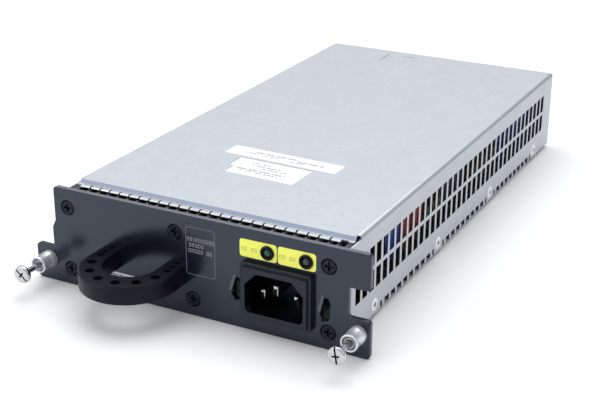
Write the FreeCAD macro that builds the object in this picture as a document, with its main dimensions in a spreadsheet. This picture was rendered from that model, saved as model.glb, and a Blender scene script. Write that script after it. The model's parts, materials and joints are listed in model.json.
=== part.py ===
import FreeCAD, Part
import math
import os

import Sketcher
from FreeCAD import Placement, Rotation, Vector

# Hot swap server power supply: a one-unit-high module with a sheet-metal case, a painted front
# panel with a moulded pull handle, an AC inlet, two status lamps and two captive screws.
# X runs along the panel, Y from the front to the rear and Z up.  The working zero is the middle of
# the panel's front face at its lower edge; every placement then moves the zero to the middle of
# the module's footprint (origin_y behind the panel, origin_x beside its middle line).

SIZES = {
    # overall
    "origin_x": -5.0,            # working X of the footprint's middle
    "origin_y": 116.7,           # working Y of the footprint's middle
    "running_clearance": 0.05,   # radial play of a turning or sliding screw
    "seat_gap": 0.05,            # play between pieces that are fitted together
    # front panel
    "panel_half": 69.4,
    "panel_top": 41.7,
    "panel_thick": 2.0,
    "left_ear_reach": 10.4,      # how far the left ear stands past the plate
    "left_ear_top": 15.25,
    "left_jog_low": 23.8,
    "left_jog_high": 27.2,
    "left_jog_reach": 1.6,
    "right_ear_reach": 0.4,
    "notch_depth": 8.4,
    "notch_low": 15.35,
    "notch_high": 27.35,
    "panel_corner": 1.5,
    "notch_corner": 1.0,
    # case
    "case_left": 68.93,
    "case_right": 57.56,
    "case_low": 1.6,
    "case_top": 39.73,
    "case_front": 2.1,
    "case_rear": 252.56,
    "sheet": 1.0,
    "cover_sheet": 0.6,
    "bend_radius": 1.6,
    "cover_front": 16.2,
    "cover_nose": 13.4,
    "joggle_drop": 1.4,
    # vents in the case sides
    "vent_pitch": 6.165,
    "vent_count": 37,
    "vent_first": 15.4,
    "vent_width": 4.3,
    "vent_top": 31.3,
    "vent_bar_high": 22.95,
    "vent_bar_low": 21.15,
    "vent_bottom": 12.8,
    "tooth_height": 2.9,
    "tooth_count": 8,
    "tooth_group_first": 42.7,
    "tooth_group_pitch": 65.5,
    # side screws
    "side_screw_first": 31.0,
    "side_screw_pitch": 65.5,
    "side_screw_z": 5.6,
    "side_head_radius": 2.3,
    "side_shank_radius": 1.45,
    # panel screws
    "panel_head_radius": 2.75,
    "panel_head_sink": 0.2,
    "panel_shank_radius": 1.5,
    "panel_screw_length": 6.0,
    "panel_mouth_radius": 3.25,
        "screw_high": 33.6,
    "screw_low": 6.95,
    "screw_left": -63.0,
    "screw_middle_high": -12.6,
    "screw_middle_low": -5.0,
    "screw_right": 52.9,
    # captive screws
    "captive_left_reach": 3.9,   # axis past the plate's left end
    "captive_right_inset": 4.2,  # axis inside the plate's right end
    "captive_z": 9.6,
    "ferrule_length": 8.5,
    "ferrule_radius": 3.5,
    "ferrule_neck_radius": 3.5,
    "ferrule_spigot_radius": 2.8,
    "ferrule_bore_radius": 2.7,
    "thread_lead": 0.4,
    "screw_head_radius": 3.6,
    "screw_head_height": 2.2,
    "screw_head_front": 19.0,
    "screw_neck_radius": 1.2,
    "screw_thread_radius": 2.0,
    "screw_thread_length": 6.0,
    "collar_radius": 2.1,
    "collar_length": 0.9,
    "collar_front": 7.7,
    "spring_radius": 1.75,
    "spring_wire": 0.2,
    "spring_turns": 4.0,
    # pull handle
    "handle_middle": -28.2,
    "handle_outer": 19.7,
    "handle_inner": 11.2,
    "handle_outer_centre": 8.6,
    "handle_inner_centre": 7.4,
    "handle_low": 12.3,
    "handle_top": 19.7,
    "handle_bevel": 0.8,
    "handle_pocket_radius": 15.3,
    "handle_pocket_depth": 4.5,
    "handle_screw_radius": 1.25,
    # inlet
    "inlet_left": 17.1,
    "inlet_right": 46.95,
    "inlet_low": 6.05,
    "inlet_high": 28.75,
    "inlet_front": 3.5,
    "inlet_rim": 1.3,
    "inlet_body_left": 18.6,
    "inlet_body_right": 45.4,
    "inlet_body_low": 7.6,
    "inlet_body_high": 27.2,
    "inlet_back": 17.5,
    "cavity_left": 19.8,
    "cavity_right": 44.2,
    "cavity_low": 9.2,
    "cavity_high": 25.5,
    "cavity_chamfer": 4.9,
    "cavity_floor": 13.0,
    "blade_width": 4.0,
    "blade_thick": 2.0,
    "blade_spread": 7.0,
    "blade_low": 15.6,
    "blade_rise": 4.0,
    "blade_tip": 0.7,            # line and neutral tips, behind the panel's face
    "earth_tip": 2.1,            # the earth tip, ahead of the panel's face
    # status lamps
    "lamp_left": 27.9,
    "lamp_right": 43.9,
    "lamp_z": 33.65,
    "lamp_ring_radius": 2.8,
    "lamp_lens_radius": 1.5,
    "label_low": 30.2,
    "label_high": 37.3,
    "label_left": 16.1,
    "label_gap_left": 31.7,
    "label_gap_right": 32.2,
    "label_right": 47.8,
    "label_corner": 1.2,
    "label_thick": 0.12,
    # wire bail anchors beside the inlet
    "anchor_left": 13.1,
    "anchor_right": 50.1,
    "anchor_low": 11.5,
    "anchor_high": 20.7,
    "anchor_slot": 3.6,
    "anchor_strap": 1.2,
    "anchor_reach": 3.6,
    # contact finger strip
    "finger_pitch": 4.68,
    "finger_count": 24,
    "finger_gap": 0.4,
    "finger_left": -64.9,
    "finger_thick": 0.25,
    "finger_front": 11.8,
    "finger_rear": 14.6,
    "shelf_bar": 1.2,
    # circuit board
    "board_low": 8.0,
    "board_thick": 1.6,
    "board_front": 34.0,
    "board_rear": 244.0,
    "board_left": -62.0,
    "board_right": 54.0,
    "post_radius": 2.8,
    # rear connector
    "plug_left": -36.0,
    "plug_right": 24.0,
    "plug_low": 8.0,
    "plug_high": 20.0,
    "plug_rear": 261.7,
}

doc = FreeCAD.newDocument("HotSwapSupply")
sheet = doc.addObject("Spreadsheet::Sheet", "Sizes")
for row, (alias, number) in enumerate(SIZES.items(), start=1):
    sheet.set(f"A{row}", alias)
    sheet.set(f"B{row}", str(number))
    sheet.setAlias(f"B{row}", alias)
doc.recompute()


class Size:
    """A length together with the sheet expression that drives it."""

    def __init__(self, value, text):
        self.value = float(value)
        self.text = text

    @staticmethod
    def of(other):
        if isinstance(other, Size):
            return other
        return Size(other, f"({float(other):.6f})")

    def _join(self, other, sign, value):
        return Size(value, f"({self.text} {sign} {Size.of(other).text})")

    def __add__(self, other):
        return self._join(other, "+", self.value + Size.of(other).value)

    def __radd__(self, other):
        return Size.of(other) + self

    def __sub__(self, other):
        return self._join(other, "-", self.value - Size.of(other).value)

    def __rsub__(self, other):
        return Size.of(other) - self

    def __mul__(self, other):
        return self._join(other, "*", self.value * Size.of(other).value)

    def __rmul__(self, other):
        return Size.of(other) * self

    def __truediv__(self, other):
        return self._join(other, "/", self.value / Size.of(other).value)

    def __neg__(self):
        return Size.of(0) - self


class Sheet:
    """Reads the sheet's cells as sizes: S.panel_top is a Size bound to that cell."""

    def __getattr__(self, alias):
        return Size(SIZES[alias], f"Sizes.{alias}")


S = Sheet()
NODES = {}


def bind(obj, prop, size):
    """Drive one property of an object by a size."""
    obj.setExpression(prop, Size.of(size).text)


def place(obj, x=0, y=0, z=0, axis=None, angle=0):
    """Put an object at a working position; its zero moves with the module's origin."""
    if axis is not None:
        obj.Placement = Placement(Vector(0, 0, 0), Rotation(axis, angle))
    bind(obj, "Placement.Base.x", Size.of(x) - S.origin_x)
    bind(obj, "Placement.Base.y", Size.of(y) - S.origin_y)
    bind(obj, "Placement.Base.z", Size.of(z))


def node(obj, name):
    """Register a finished sub-part under its node name."""
    obj.Label = name
    NODES[name] = obj
    return obj


# ---------------------------------------------------------------- sketches and features


def new_body(name):
    body = doc.addObject("PartDesign::Body", name)
    place(body)
    return body


def sketch_on(body, role, offset=0, name="Profile"):
    """A sketch on one of the body's own origin planes, moved along the plane's normal."""
    sk = body.newObject("Sketcher::SketchObject", name)
    plane = next(f for f in body.Origin.OriginFeatures if f.Role == role)
    sk.AttachmentSupport = [(plane, "")]
    sk.MapMode = "FlatFace"
    bind(sk, "AttachmentOffset.Base.z", offset)
    return sk


def across(body, y, name="Profile"):
    """A sketch in X and Z at the depth y."""
    return sketch_on(body, "XZ_Plane", -Size.of(y), name)


def along(body, x, name="Profile"):
    """A sketch in Y and Z at the position x."""
    return sketch_on(body, "YZ_Plane", x, name)


def flat(body, z, name="Profile"):
    """A sketch in X and Y at the height z."""
    return sketch_on(body, "XY_Plane", z, name)


def pin_point(sk, geo, end, x, y):
    """Fix a point of the sketch to driven coordinates."""
    for kind, size, axis in (("DistanceX", x, -2), ("DistanceY", y, -1)):
        size = Size.of(size)
        if size.value == 0:
            sk.addConstraint(Sketcher.Constraint("PointOnObject", geo, end, axis))
            continue
        index = sk.addConstraint(Sketcher.Constraint(kind, -1, 1, geo, end, size.value))
        sk.setExpression(f"Constraints[{index}]", size.text)


def outline(sk, points):
    """A closed polygon through driven corner points."""
    corners = [(Size.of(x), Size.of(y)) for x, y in points]
    ends = corners[1:] + corners[:1]
    first = sk.GeometryCount
    for (xa, ya), (xb, yb) in zip(corners, ends):
        line = Part.LineSegment(Vector(xa.value, ya.value, 0), Vector(xb.value, yb.value, 0))
        sk.addGeometry(line, False)
    count = len(corners)
    for i in range(count):
        sk.addConstraint(Sketcher.Constraint("Coincident", first + i, 2, first + (i + 1) % count, 1))
    for i, (x, y) in enumerate(corners):
        pin_point(sk, first + i, 1, x, y)


def rectangle(sk, x_low, y_low, x_high, y_high):
    outline(sk, [(x_low, y_low), (x_high, y_low), (x_high, y_high), (x_low, y_high)])


def circle(sk, x, y, radius):
    x, y, radius = Size.of(x), Size.of(y), Size.of(radius)
    centre = Vector(x.value, y.value, 0)
    geo = sk.addGeometry(Part.Circle(centre, Vector(0, 0, 1), radius.value), False)
    pin_point(sk, geo, 3, x, y)
    index = sk.addConstraint(Sketcher.Constraint("Radius", geo, radius.value))
    sk.setExpression(f"Constraints[{index}]", radius.text)


def bow(sk, x, y, radius, root, flip=1):
    """A U shape open towards the root: two straight legs and a half circle at the far end."""
    x, y, radius, root = Size.of(x), Size.of(y), Size.of(radius), Size.of(root)
    left, right = (x - radius).value, (x + radius).value
    centre = Vector(x.value, y.value, 0)
    start, end = (math.pi, 2 * math.pi) if flip > 0 else (0, math.pi)
    arc = sk.addGeometry(
        Part.ArcOfCircle(Part.Circle(centre, Vector(0, 0, 1), radius.value), start, end), False
    )
    x_first, x_last = (left, right) if flip > 0 else (right, left)
    leg_a = sk.addGeometry(
        Part.LineSegment(Vector(x_last, y.value, 0), Vector(x_last, root.value, 0)), False
    )
    back = sk.addGeometry(
        Part.LineSegment(Vector(x_last, root.value, 0), Vector(x_first, root.value, 0)), False
    )
    leg_b = sk.addGeometry(
        Part.LineSegment(Vector(x_first, root.value, 0), Vector(x_first, y.value, 0)), False
    )
    sk.addConstraint(Sketcher.Constraint("Tangent", arc, 2, leg_a, 1))
    sk.addConstraint(Sketcher.Constraint("Coincident", leg_a, 2, back, 1))
    sk.addConstraint(Sketcher.Constraint("Coincident", back, 2, leg_b, 1))
    sk.addConstraint(Sketcher.Constraint("Tangent", leg_b, 2, arc, 1))
    sk.addConstraint(Sketcher.Constraint("Vertical", leg_a))
    sk.addConstraint(Sketcher.Constraint("Horizontal", back))
    pin_point(sk, arc, 3, x, y)
    index = sk.addConstraint(Sketcher.Constraint("Radius", arc, radius.value))
    sk.setExpression(f"Constraints[{index}]", radius.text)
    if root.value == 0:
        sk.addConstraint(Sketcher.Constraint("PointOnObject", back, 1, -1))
        return
    index = sk.addConstraint(Sketcher.Constraint("DistanceY", -1, 1, back, 1, root.value))
    sk.setExpression(f"Constraints[{index}]", root.text)


def pad(body, sk, length, back=False, both=False):
    """Extrude a sketch along its normal, or against it."""
    feature = body.newObject("PartDesign::Pad", "Pad")
    feature.Profile = sk
    feature.Reversed = back
    feature.Midplane = both
    bind(feature, "Length", length)
    return feature


def pocket(body, sk, depth, back=False, both=False):
    """Cut a sketch against its normal, or along it; the volume must go down."""
    doc.recompute()
    before = body.Shape.Volume
    feature = body.newObject("PartDesign::Pocket", "Pocket")
    feature.Profile = sk
    feature.Reversed = back
    feature.Midplane = both
    bind(feature, "Length", depth)
    doc.recompute()
    if not feature.Shape.Volume < before - 1e-6:
        raise RuntimeError(f"{body.Name}: {feature.Name} removes nothing")
    return feature


def revolve(body, sk, angle=360):
    """Turn a sketch about its own vertical axis."""
    feature = body.newObject("PartDesign::Revolution", "Revolution")
    feature.Profile = sk
    feature.ReferenceAxis = (sk, ["V_Axis"])
    feature.Angle = angle
    return feature


def repeat(body, originals, sk, axis, step, count):
    """Repeat features along an axis of their sketch with a driven pitch and count."""
    feature = body.newObject("PartDesign::LinearPattern", "Pattern")
    feature.Originals = originals
    feature.Direction = (sk, [axis])
    step, count = Size.of(step), Size.of(count)
    bind(feature, "Length", step * (count - 1))
    bind(feature, "Occurrences", count)
    body.Tip = feature
    return feature


def edges_where(shape, test):
    """Names of the edges whose middle point and direction pass a test."""
    found = []
    for number, edge in enumerate(shape.Edges, start=1):
        middle = edge.CenterOfMass
        ends = [v.Point for v in edge.Vertexes]
        run = (ends[-1] - ends[0]) if len(ends) > 1 else Vector(0, 0, 0)
        if test(middle, run):
            found.append(f"Edge{number}")
    if not found:
        raise RuntimeError("no edge passes the test")
    return found


def near(a, b, limit=0.02):
    return abs(a - b) < limit


def round_edges(body, base, test, radius, kind="PartDesign::Fillet"):
    """Fillet or chamfer the edges of a feature that pass a test."""
    doc.recompute()
    names = edges_where(base.Shape, test)
    feature = body.newObject(kind, "EdgeBreak")
    feature.Base = (base, names)
    bind(feature, "Radius" if kind.endswith("Fillet") else "Size", radius)
    doc.recompute()
    return feature


def upright(run, axis):
    """True when an edge runs along one axis only."""
    parts = [abs(run.x), abs(run.y), abs(run.z)]
    along_it = parts.pop(axis)
    return along_it > 1e-3 and max(parts) < 1e-3


# ---------------------------------------------------------------- simple solids


def box(x, y, z, dx, dy, dz, name="Block"):
    """A driven box by its low corner and its sizes, in working coordinates."""
    solid = doc.addObject("Part::Box", name)
    bind(solid, "Length", dx)
    bind(solid, "Width", dy)
    bind(solid, "Height", dz)
    place(solid, x, y, z)
    return solid


TURNS = {"X": (Vector(0, 1, 0), 90), "Y": (Vector(1, 0, 0), -90), "Z": (None, 0)}


def rod(x, y, z, radius, length, axis="Z", name="Rod"):
    """A driven cylinder from its base centre along +X, +Y or +Z."""
    solid = doc.addObject("Part::Cylinder", name)
    bind(solid, "Radius", radius)
    bind(solid, "Height", length)
    turn_axis, angle = TURNS[axis]
    place(solid, x, y, z, turn_axis, angle)
    return solid


def ring(x, y, z, radius, tube, axis="Z", name="Ring"):
    """A driven torus about its centre."""
    solid = doc.addObject("Part::Torus", name)
    bind(solid, "Radius1", radius)
    bind(solid, "Radius2", tube)
    turn_axis, angle = TURNS[axis]
    place(solid, x, y, z, turn_axis, angle)
    return solid


def fused(parts, name="Fused"):
    if len(parts) == 1:
        return parts[0]
    joined = doc.addObject("Part::MultiFuse", name)
    joined.Shapes = parts
    return joined


def cut(base, tools, name="Cut"):
    result = doc.addObject("Part::Cut", name)
    result.Base = base
    result.Tool = fused(tools, "Tools")
    return result


def softened(base, radius, test, name="Softened", kind="Part::Fillet"):
    """Round or bevel chosen edges of a Part solid."""
    doc.recompute()
    chosen = [int(n[4:]) for n in edges_where(base.Shape, test)]
    result = doc.addObject(kind, name)
    result.Base = base
    value = Size.of(radius).value
    result.Edges = [(n, value, value) for n in chosen]
    return result


def group(parts, name):
    """Several like solids that share one node."""
    if len(parts) == 1:
        return node(parts[0], name)
    compound = doc.addObject("Part::Compound", "Group")
    compound.Links = parts
    return node(compound, name)


def copies(master, positions, name, axis=None, angle=0):
    """The same fastener or fitting at several working positions, as one node."""
    links = []
    for x, y, z in positions:
        link = doc.addObject("App::Link", f"{name}_item")
        link.LinkedObject = master
        link.LinkTransform = False
        place(link, x, y, z, axis, angle)
        links.append(link)
    return group(links, name)


# ---------------------------------------------------------------- sheet metal

FRONTWARD = (Vector(1, 0, 0), 90)
RIGHTWARD = (Vector(0, 1, 0), 90)
LEFTWARD = (Vector(0, 1, 0), -90)

PANEL_SCREWS = [
    (S.screw_left, S.screw_high),
    (S.screw_middle_high, S.screw_high),
    (S.screw_right, S.screw_high),
    (S.screw_left, S.screw_low),
    (S.screw_middle_low, S.screw_low),
    (S.screw_right, S.screw_low),
]
LAMPS = [S.lamp_left, S.lamp_right]
LEFT_EAR = -S.panel_half - S.left_ear_reach
RIGHT_EAR = S.panel_half + S.right_ear_reach
LEFT_JOG = -S.panel_half - S.left_jog_reach
NOTCH = S.panel_half - S.notch_depth
CAPTIVES = [-S.panel_half - S.captive_left_reach, S.panel_half - S.captive_right_inset]
ANCHORS = [S.anchor_left, S.anchor_right]
HANDLE_LEGS = [
    S.handle_middle - (S.handle_outer + S.handle_inner) / 2,
    S.handle_middle + (S.handle_outer + S.handle_inner) / 2,
]
HANDLE_Z = (S.handle_low + S.handle_top) / 2


def make_front_panel():
    """The painted plate with two ears, its cut-outs and two bail anchors lanced out of it."""
    body = new_body("FrontPanel")
    sk = across(body, 0)
    outline(sk, [
        (LEFT_EAR, 0),
        (RIGHT_EAR, 0),
        (RIGHT_EAR, S.notch_low),
        (NOTCH, S.notch_low),
        (NOTCH, S.notch_high),
        (S.panel_half, S.notch_high),
        (S.panel_half, S.panel_top),
        (-S.panel_half, S.panel_top),
        (-S.panel_half, S.left_jog_high),
        (LEFT_JOG, S.left_jog_low),
        (LEFT_JOG, S.left_ear_top),
        (LEFT_EAR, S.left_ear_top),
    ])
    plate = pad(body, sk, S.panel_thick, back=True)
    outer = [
        (LEFT_EAR, 0),
        (RIGHT_EAR, 0),
        (RIGHT_EAR, S.notch_low),
        (S.panel_half, S.notch_high),
        (S.panel_half, S.panel_top),
        (-S.panel_half, S.panel_top),
        (LEFT_EAR, S.left_ear_top),
    ]
    inner = [(NOTCH, S.notch_low), (NOTCH, S.notch_high), (LEFT_JOG, S.left_ear_top)]

    def at(corners):
        spots = [(Size.of(x).value, Size.of(z).value) for x, z in corners]
        return lambda mid, run: upright(run, 1) and any(
            near(mid.x, x) and near(mid.z, z) for x, z in spots
        )

    rounded = round_edges(body, plate, at(outer), S.panel_corner)
    round_edges(body, rounded, at(inner), S.notch_corner)

    openings = across(body, 0)
    rectangle(
        openings,
        S.inlet_body_left - S.seat_gap,
        S.inlet_body_low - S.seat_gap,
        S.inlet_body_right + S.seat_gap,
        S.inlet_body_high + S.seat_gap,
    )
    for x in LAMPS:
        circle(openings, x, S.lamp_z, 2.5)
    for x in CAPTIVES:
        circle(openings, x, S.captive_z, S.ferrule_spigot_radius + 0.02)
    for x in HANDLE_LEGS:
        circle(openings, x, HANDLE_Z, S.handle_screw_radius + 0.15)
    pocket(body, openings, S.panel_thick)

    slots = across(body, 0)
    for x in ANCHORS:
        outline(slots, [
            (x, S.anchor_low + 0.9),
            (x + 0.9, S.anchor_low),
            (x + S.anchor_slot - 0.9, S.anchor_low),
            (x + S.anchor_slot, S.anchor_low + 1.6),
            (x + S.anchor_slot, S.anchor_high - 1.6),
            (x + S.anchor_slot - 0.9, S.anchor_high),
            (x + 0.9, S.anchor_high),
            (x, S.anchor_high - 0.9),
        ])
    pocket(body, slots, S.panel_thick)

    for x in ANCHORS:
        strap = along(body, x)
        middle = (S.anchor_low + S.anchor_high) / 2
        peak = -S.anchor_reach
        outline(strap, [
            (0.6, S.anchor_low - 1.2),
            (0.0, S.anchor_low - 0.8),
            (peak + 0.3, middle - 0.9),
            (peak, middle - 0.4),
            (peak, middle + 0.4),
            (peak + 0.3, middle + 0.9),
            (0.0, S.anchor_high + 0.8),
            (0.6, S.anchor_high + 1.2),
            (0.6, S.anchor_high),
            (peak + 1.2, middle + 0.4),
            (peak + 1.2, middle - 0.4),
            (0.6, S.anchor_low),
        ])
        pad(body, strap, S.anchor_strap)

    bores = across(body, 0)
    for x, z in PANEL_SCREWS:
        circle(bores, x, z, S.panel_shank_radius + 0.15)
    drilled = pocket(body, bores, S.panel_thick)

    def mouth(mid, run):
        return near(mid.y, 0) and run.Length < 1e-6 and any(
            near(mid.x, x.value) and near(mid.z, z.value) for x, z in PANEL_SCREWS
        )

    funnel = S.panel_mouth_radius - S.panel_shank_radius - 0.15
    round_edges(body, drilled, mouth, funnel, kind="PartDesign::Chamfer")
    return node(body, "front_panel")


INNER_LEFT = -S.case_left + S.cover_sheet
INNER_RIGHT = S.case_right - S.cover_sheet
CORNER_WINDOW = (INNER_RIGHT - 5.4, INNER_RIGHT - 2.8)


def cover_profile(sk):
    """The folded channel: a top with two sides, open below."""
    outline(sk, [
        (-S.case_left, S.case_low),
        (-S.case_left, S.case_top),
        (S.case_right, S.case_top),
        (S.case_right, S.case_low),
        (INNER_RIGHT, S.case_low),
        (INNER_RIGHT, S.case_top - S.cover_sheet),
        (INNER_LEFT, S.case_top - S.cover_sheet),
        (INNER_LEFT, S.case_low),
    ])


def make_top_cover():
    """The galvanised cover: top and both vented sides, with a stepped nose at the front."""
    body = new_body("TopCover")
    sk = across(body, S.case_rear)
    cover_profile(sk)
    shell = pad(body, sk, S.case_rear - S.case_front)

    def fold(radius_edges):
        return lambda mid, run: upright(run, 1) and any(
            near(mid.x, x) and near(mid.z, z) for x, z in radius_edges
        )

    left, right = -S.case_left.value, S.case_right.value
    top = S.case_top.value
    round_edges(body, shell, fold([(left, top), (right, top)]), S.bend_radius)

    # the top is cut back at the front and its folded corners are relieved
    nose = flat(body, S.case_top + 1)
    rectangle(nose, -S.case_left - 1, S.case_front - 1, S.case_right + 1, S.cover_front)
    pocket(body, nose, 1 + S.bend_radius)

    # a sloped nose steps down to a lip that carries the contact fingers
    lip = S.case_top - S.joggle_drop
    fall = along(body, INNER_LEFT + 0.7)
    outline(fall, [
        (S.cover_front + 1.0, S.case_top),
        (S.cover_front, S.case_top),
        (S.cover_front - S.joggle_drop, lip),
        (S.cover_nose, lip),
        (S.cover_nose, lip - S.cover_sheet),
        (S.cover_front - S.joggle_drop + 0.4, lip - S.cover_sheet),
        (S.cover_front + 0.4, S.case_top - S.cover_sheet),
        (S.cover_front + 1.0, S.case_top - S.cover_sheet),
    ])
    pad(body, fall, INNER_RIGHT - INNER_LEFT - 1.4)
    relief = flat(body, S.case_top + 1)
    for x in (-S.case_left + 0.9, S.case_right - 0.9):
        circle(relief, x, S.cover_front + 0.75, 0.95)
    pocket(body, relief, 1 + S.bend_radius)
    corner = flat(body, lip + 0.3)
    low, high = CORNER_WINDOW
    rectangle(corner, low, S.cover_nose - 1, high, S.cover_nose + 0.9)
    pocket(body, corner, S.cover_sheet + 0.4)

    # a three-sided mark lanced through the top near the rear
    lance = flat(body, S.case_top)
    rectangle(lance, -32.3, 233.4, -31.8, 245.3)
    pocket(body, lance, S.cover_sheet)
    lance = flat(body, S.case_top)
    rectangle(lance, -24.0, 244.8, -19.0, 245.3)
    circle(lance, -18.4, 245.05, 0.5)
    pocket(body, lance, S.cover_sheet)

    # two rows of upright vents, cut through both sides at once
    width = S.case_right + S.case_left
    window = along(body, S.case_right)
    half = S.vent_width / 2
    rectangle(
        window, S.vent_first - half, S.vent_bar_high, S.vent_first + half, S.vent_top
    )
    rectangle(
        window, S.vent_first - half, S.vent_bottom, S.vent_first + half, S.vent_bar_low
    )
    slot = pocket(body, window, width)
    repeat(body, [slot], window, "H_Axis", S.vent_pitch, S.vent_count)

    # notches along the lower edges, in groups between the side screws
    teeth = along(body, S.case_right)
    for number in range(3):
        start = S.tooth_group_first + S.tooth_group_pitch * number
        rectangle(
            teeth, start - half, S.case_low - 1, start + half, S.case_low + S.tooth_height
        )
    tooth = pocket(body, teeth, width)
    repeat(body, [tooth], teeth, "H_Axis", S.vent_pitch, S.tooth_count)
    ends = along(body, S.case_right)
    for number in range(3):
        start = S.tooth_group_first + S.tooth_group_pitch * number
        last = start + S.vent_pitch * (S.tooth_count - 1)
        for middle in (start - 5.4, last + 5.4):
            rectangle(
                ends, middle - 0.9, S.case_low - 1, middle + 0.9, S.case_low + S.tooth_height
            )
    pocket(body, ends, width)

    # countersunk holes for the side screws
    bores = along(body, S.case_right)
    for number in range(4):
        circle(
            bores,
            S.side_screw_first + S.side_screw_pitch * number,
            S.side_screw_z,
            S.side_shank_radius + 0.5,
        )
    drilled = pocket(body, bores, width)

    def mouth(mid, run):
        at_side = near(mid.x, left) or near(mid.x, right)
        return at_side and run.Length < 1e-6 and near(mid.z, S.side_screw_z.value)

    round_edges(body, drilled, mouth, S.cover_sheet - 0.02, kind="PartDesign::Chamfer")
    return node(body, "top_cover")


def make_chassis_tray():
    """The lower tray: floor, two low flanges for the side screws and the rear wall."""
    body = new_body("ChassisTray")
    sk = across(body, S.case_rear - S.sheet)
    gap = S.seat_gap
    outline(sk, [
        (INNER_LEFT + gap, S.case_low),
        (INNER_RIGHT - gap, S.case_low),
        (INNER_RIGHT - gap, S.case_low + 8.6),
        (INNER_RIGHT - gap - S.sheet, S.case_low + 8.6),
        (INNER_RIGHT - gap - S.sheet, S.case_low + S.sheet),
        (INNER_LEFT + gap + S.sheet, S.case_low + S.sheet),
        (INNER_LEFT + gap + S.sheet, S.case_low + 8.6),
        (INNER_LEFT + gap, S.case_low + 8.6),
    ])
    pad(body, sk, S.case_rear - S.sheet - S.case_front - S.sheet - gap)
    wall = across(body, S.case_rear)
    rectangle(
        wall, INNER_LEFT + gap, S.case_low, INNER_RIGHT - gap, S.case_top - S.cover_sheet - gap
    )
    pad(body, wall, S.sheet)
    mouth = across(body, S.case_rear - S.sheet)
    rectangle(mouth, S.plug_left - gap, S.plug_low - gap, S.plug_right + gap, S.plug_high + gap)
    pocket(body, mouth, S.sheet)
    row = across(body, S.case_rear - S.sheet)
    rectangle(row, -62, 24.5, -58.5, 35.5)
    slit = pocket(body, row, S.sheet)
    repeat(body, [slit], row, "H_Axis", 6.2, 18)
    side = INNER_RIGHT - gap
    bores = along(body, side)
    for number in range(4):
        circle(
            bores,
            S.side_screw_first + S.side_screw_pitch * number,
            S.side_screw_z,
            S.side_shank_radius + S.running_clearance,
        )
    pocket(body, bores, S.case_right + S.case_left)
    teeth = along(body, side)
    half = S.vent_width / 2
    for number in range(3):
        start = S.tooth_group_first + S.tooth_group_pitch * number
        rectangle(
            teeth, start - half, S.case_low + S.sheet, start + half, S.case_low + 2.0
        )
    tooth = pocket(body, teeth, S.case_right + S.case_left)
    repeat(body, [tooth], teeth, "H_Axis", S.vent_pitch, S.tooth_count)
    return node(body, "chassis_tray")


def make_front_bulkhead():
    """The inner plate behind the panel, with a shelf folded back under the cover's nose."""
    body = new_body("FrontBulkhead")
    gap = S.seat_gap
    face_left = INNER_LEFT + gap
    face_right = INNER_RIGHT - gap
    shelf_top = S.case_top - S.joggle_drop - S.cover_sheet - gap
    sk = across(body, S.panel_thick)
    rectangle(sk, face_left, S.case_low + S.sheet + gap, face_right, shelf_top)
    pad(body, sk, S.sheet, back=True)
    shelf = flat(body, shelf_top)
    rectangle(shelf, INNER_LEFT + 0.7, S.panel_thick, INNER_RIGHT - 0.7, S.cover_front + 6)
    pad(body, shelf, S.sheet, back=True)
    holes = across(body, S.panel_thick)
    rectangle(
        holes,
        S.inlet_body_left - 0.3,
        S.inlet_body_low - 0.3,
        S.inlet_body_right + 0.3,
        S.inlet_body_high + 0.3,
    )
    for x in LAMPS:
        circle(holes, x, S.lamp_z, 2.7)
    for x, z in PANEL_SCREWS:
        circle(holes, x, z, S.panel_shank_radius + 0.25)
    for x in HANDLE_LEGS:
        circle(holes, x, HANDLE_Z, S.handle_screw_radius + 0.15)
    for x in ANCHORS:
        rectangle(
            holes, x - 0.5, S.anchor_low - 1.5, x + S.anchor_slot + 0.5, S.anchor_high + 1.5
        )
    pocket(body, holes, S.sheet)

    # windows in the shelf in front of the fingers, with a bar at every second slit
    bar = S.shelf_bar / 2
    span = S.finger_pitch * 2
    first = S.finger_left + S.finger_pitch
    near_edge = S.panel_thick + S.sheet + 0.4
    far_edge = S.cover_nose + 1.6
    window = flat(body, shelf_top)
    rectangle(window, first + bar, near_edge, first + span - bar, far_edge)
    opening = pocket(body, window, S.sheet)
    repeat(body, [opening], window, "H_Axis", span, S.finger_count / 2 - 1)
    low, high = CORNER_WINDOW
    sides = flat(body, shelf_top)
    last = first + span * (S.finger_count / 2 - 1)
    rectangle(sides, S.finger_left, near_edge, first - bar, far_edge)
    rectangle(sides, last + bar, near_edge, low - 0.9, far_edge)
    rectangle(sides, low, S.cover_nose - 4.5, high, S.cover_nose + 0.9)
    pocket(body, sides, S.sheet)
    return node(body, "front_bulkhead")


def make_finger_strip():
    """The sprung contact strip clipped on the shelf: arched fingers parted by narrow slits."""
    body = new_body("FingerStrip")
    lip = S.case_top - S.joggle_drop + 0.02
    thick = S.finger_thick
    sk = along(body, S.finger_left)
    front, rear = S.finger_front, S.finger_rear
    outline(sk, [
        (rear, lip + thick),
        (front + 2.2, lip + thick),
        (front + 1.2, lip + thick + 0.15),
        (front + 0.4, lip + thick + 0.05),
        (front, lip + thick - 0.3),
        (front, lip - 0.25),
        (front + thick, lip - 0.25),
        (front + thick, lip - 0.15),
        (front + 0.5, lip + 0.05),
        (front + 1.2, lip + 0.15),
        (front + 2.2, lip),
        (rear, lip),
    ])
    right = CORNER_WINDOW[0]
    pad(body, sk, right - S.finger_left)
    slits = flat(body, lip + 2)
    rectangle(
        slits,
        S.finger_left + S.finger_pitch - S.finger_gap / 2,
        front - 1,
        S.finger_left + S.finger_pitch + S.finger_gap / 2,
        front + 1.9,
    )
    slit = pocket(body, slits, 5)
    repeat(body, [slit], slits, "H_Axis", S.finger_pitch, S.finger_count)
    return node(body, "contact_finger_strip")


# ---------------------------------------------------------------- screws


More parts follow.
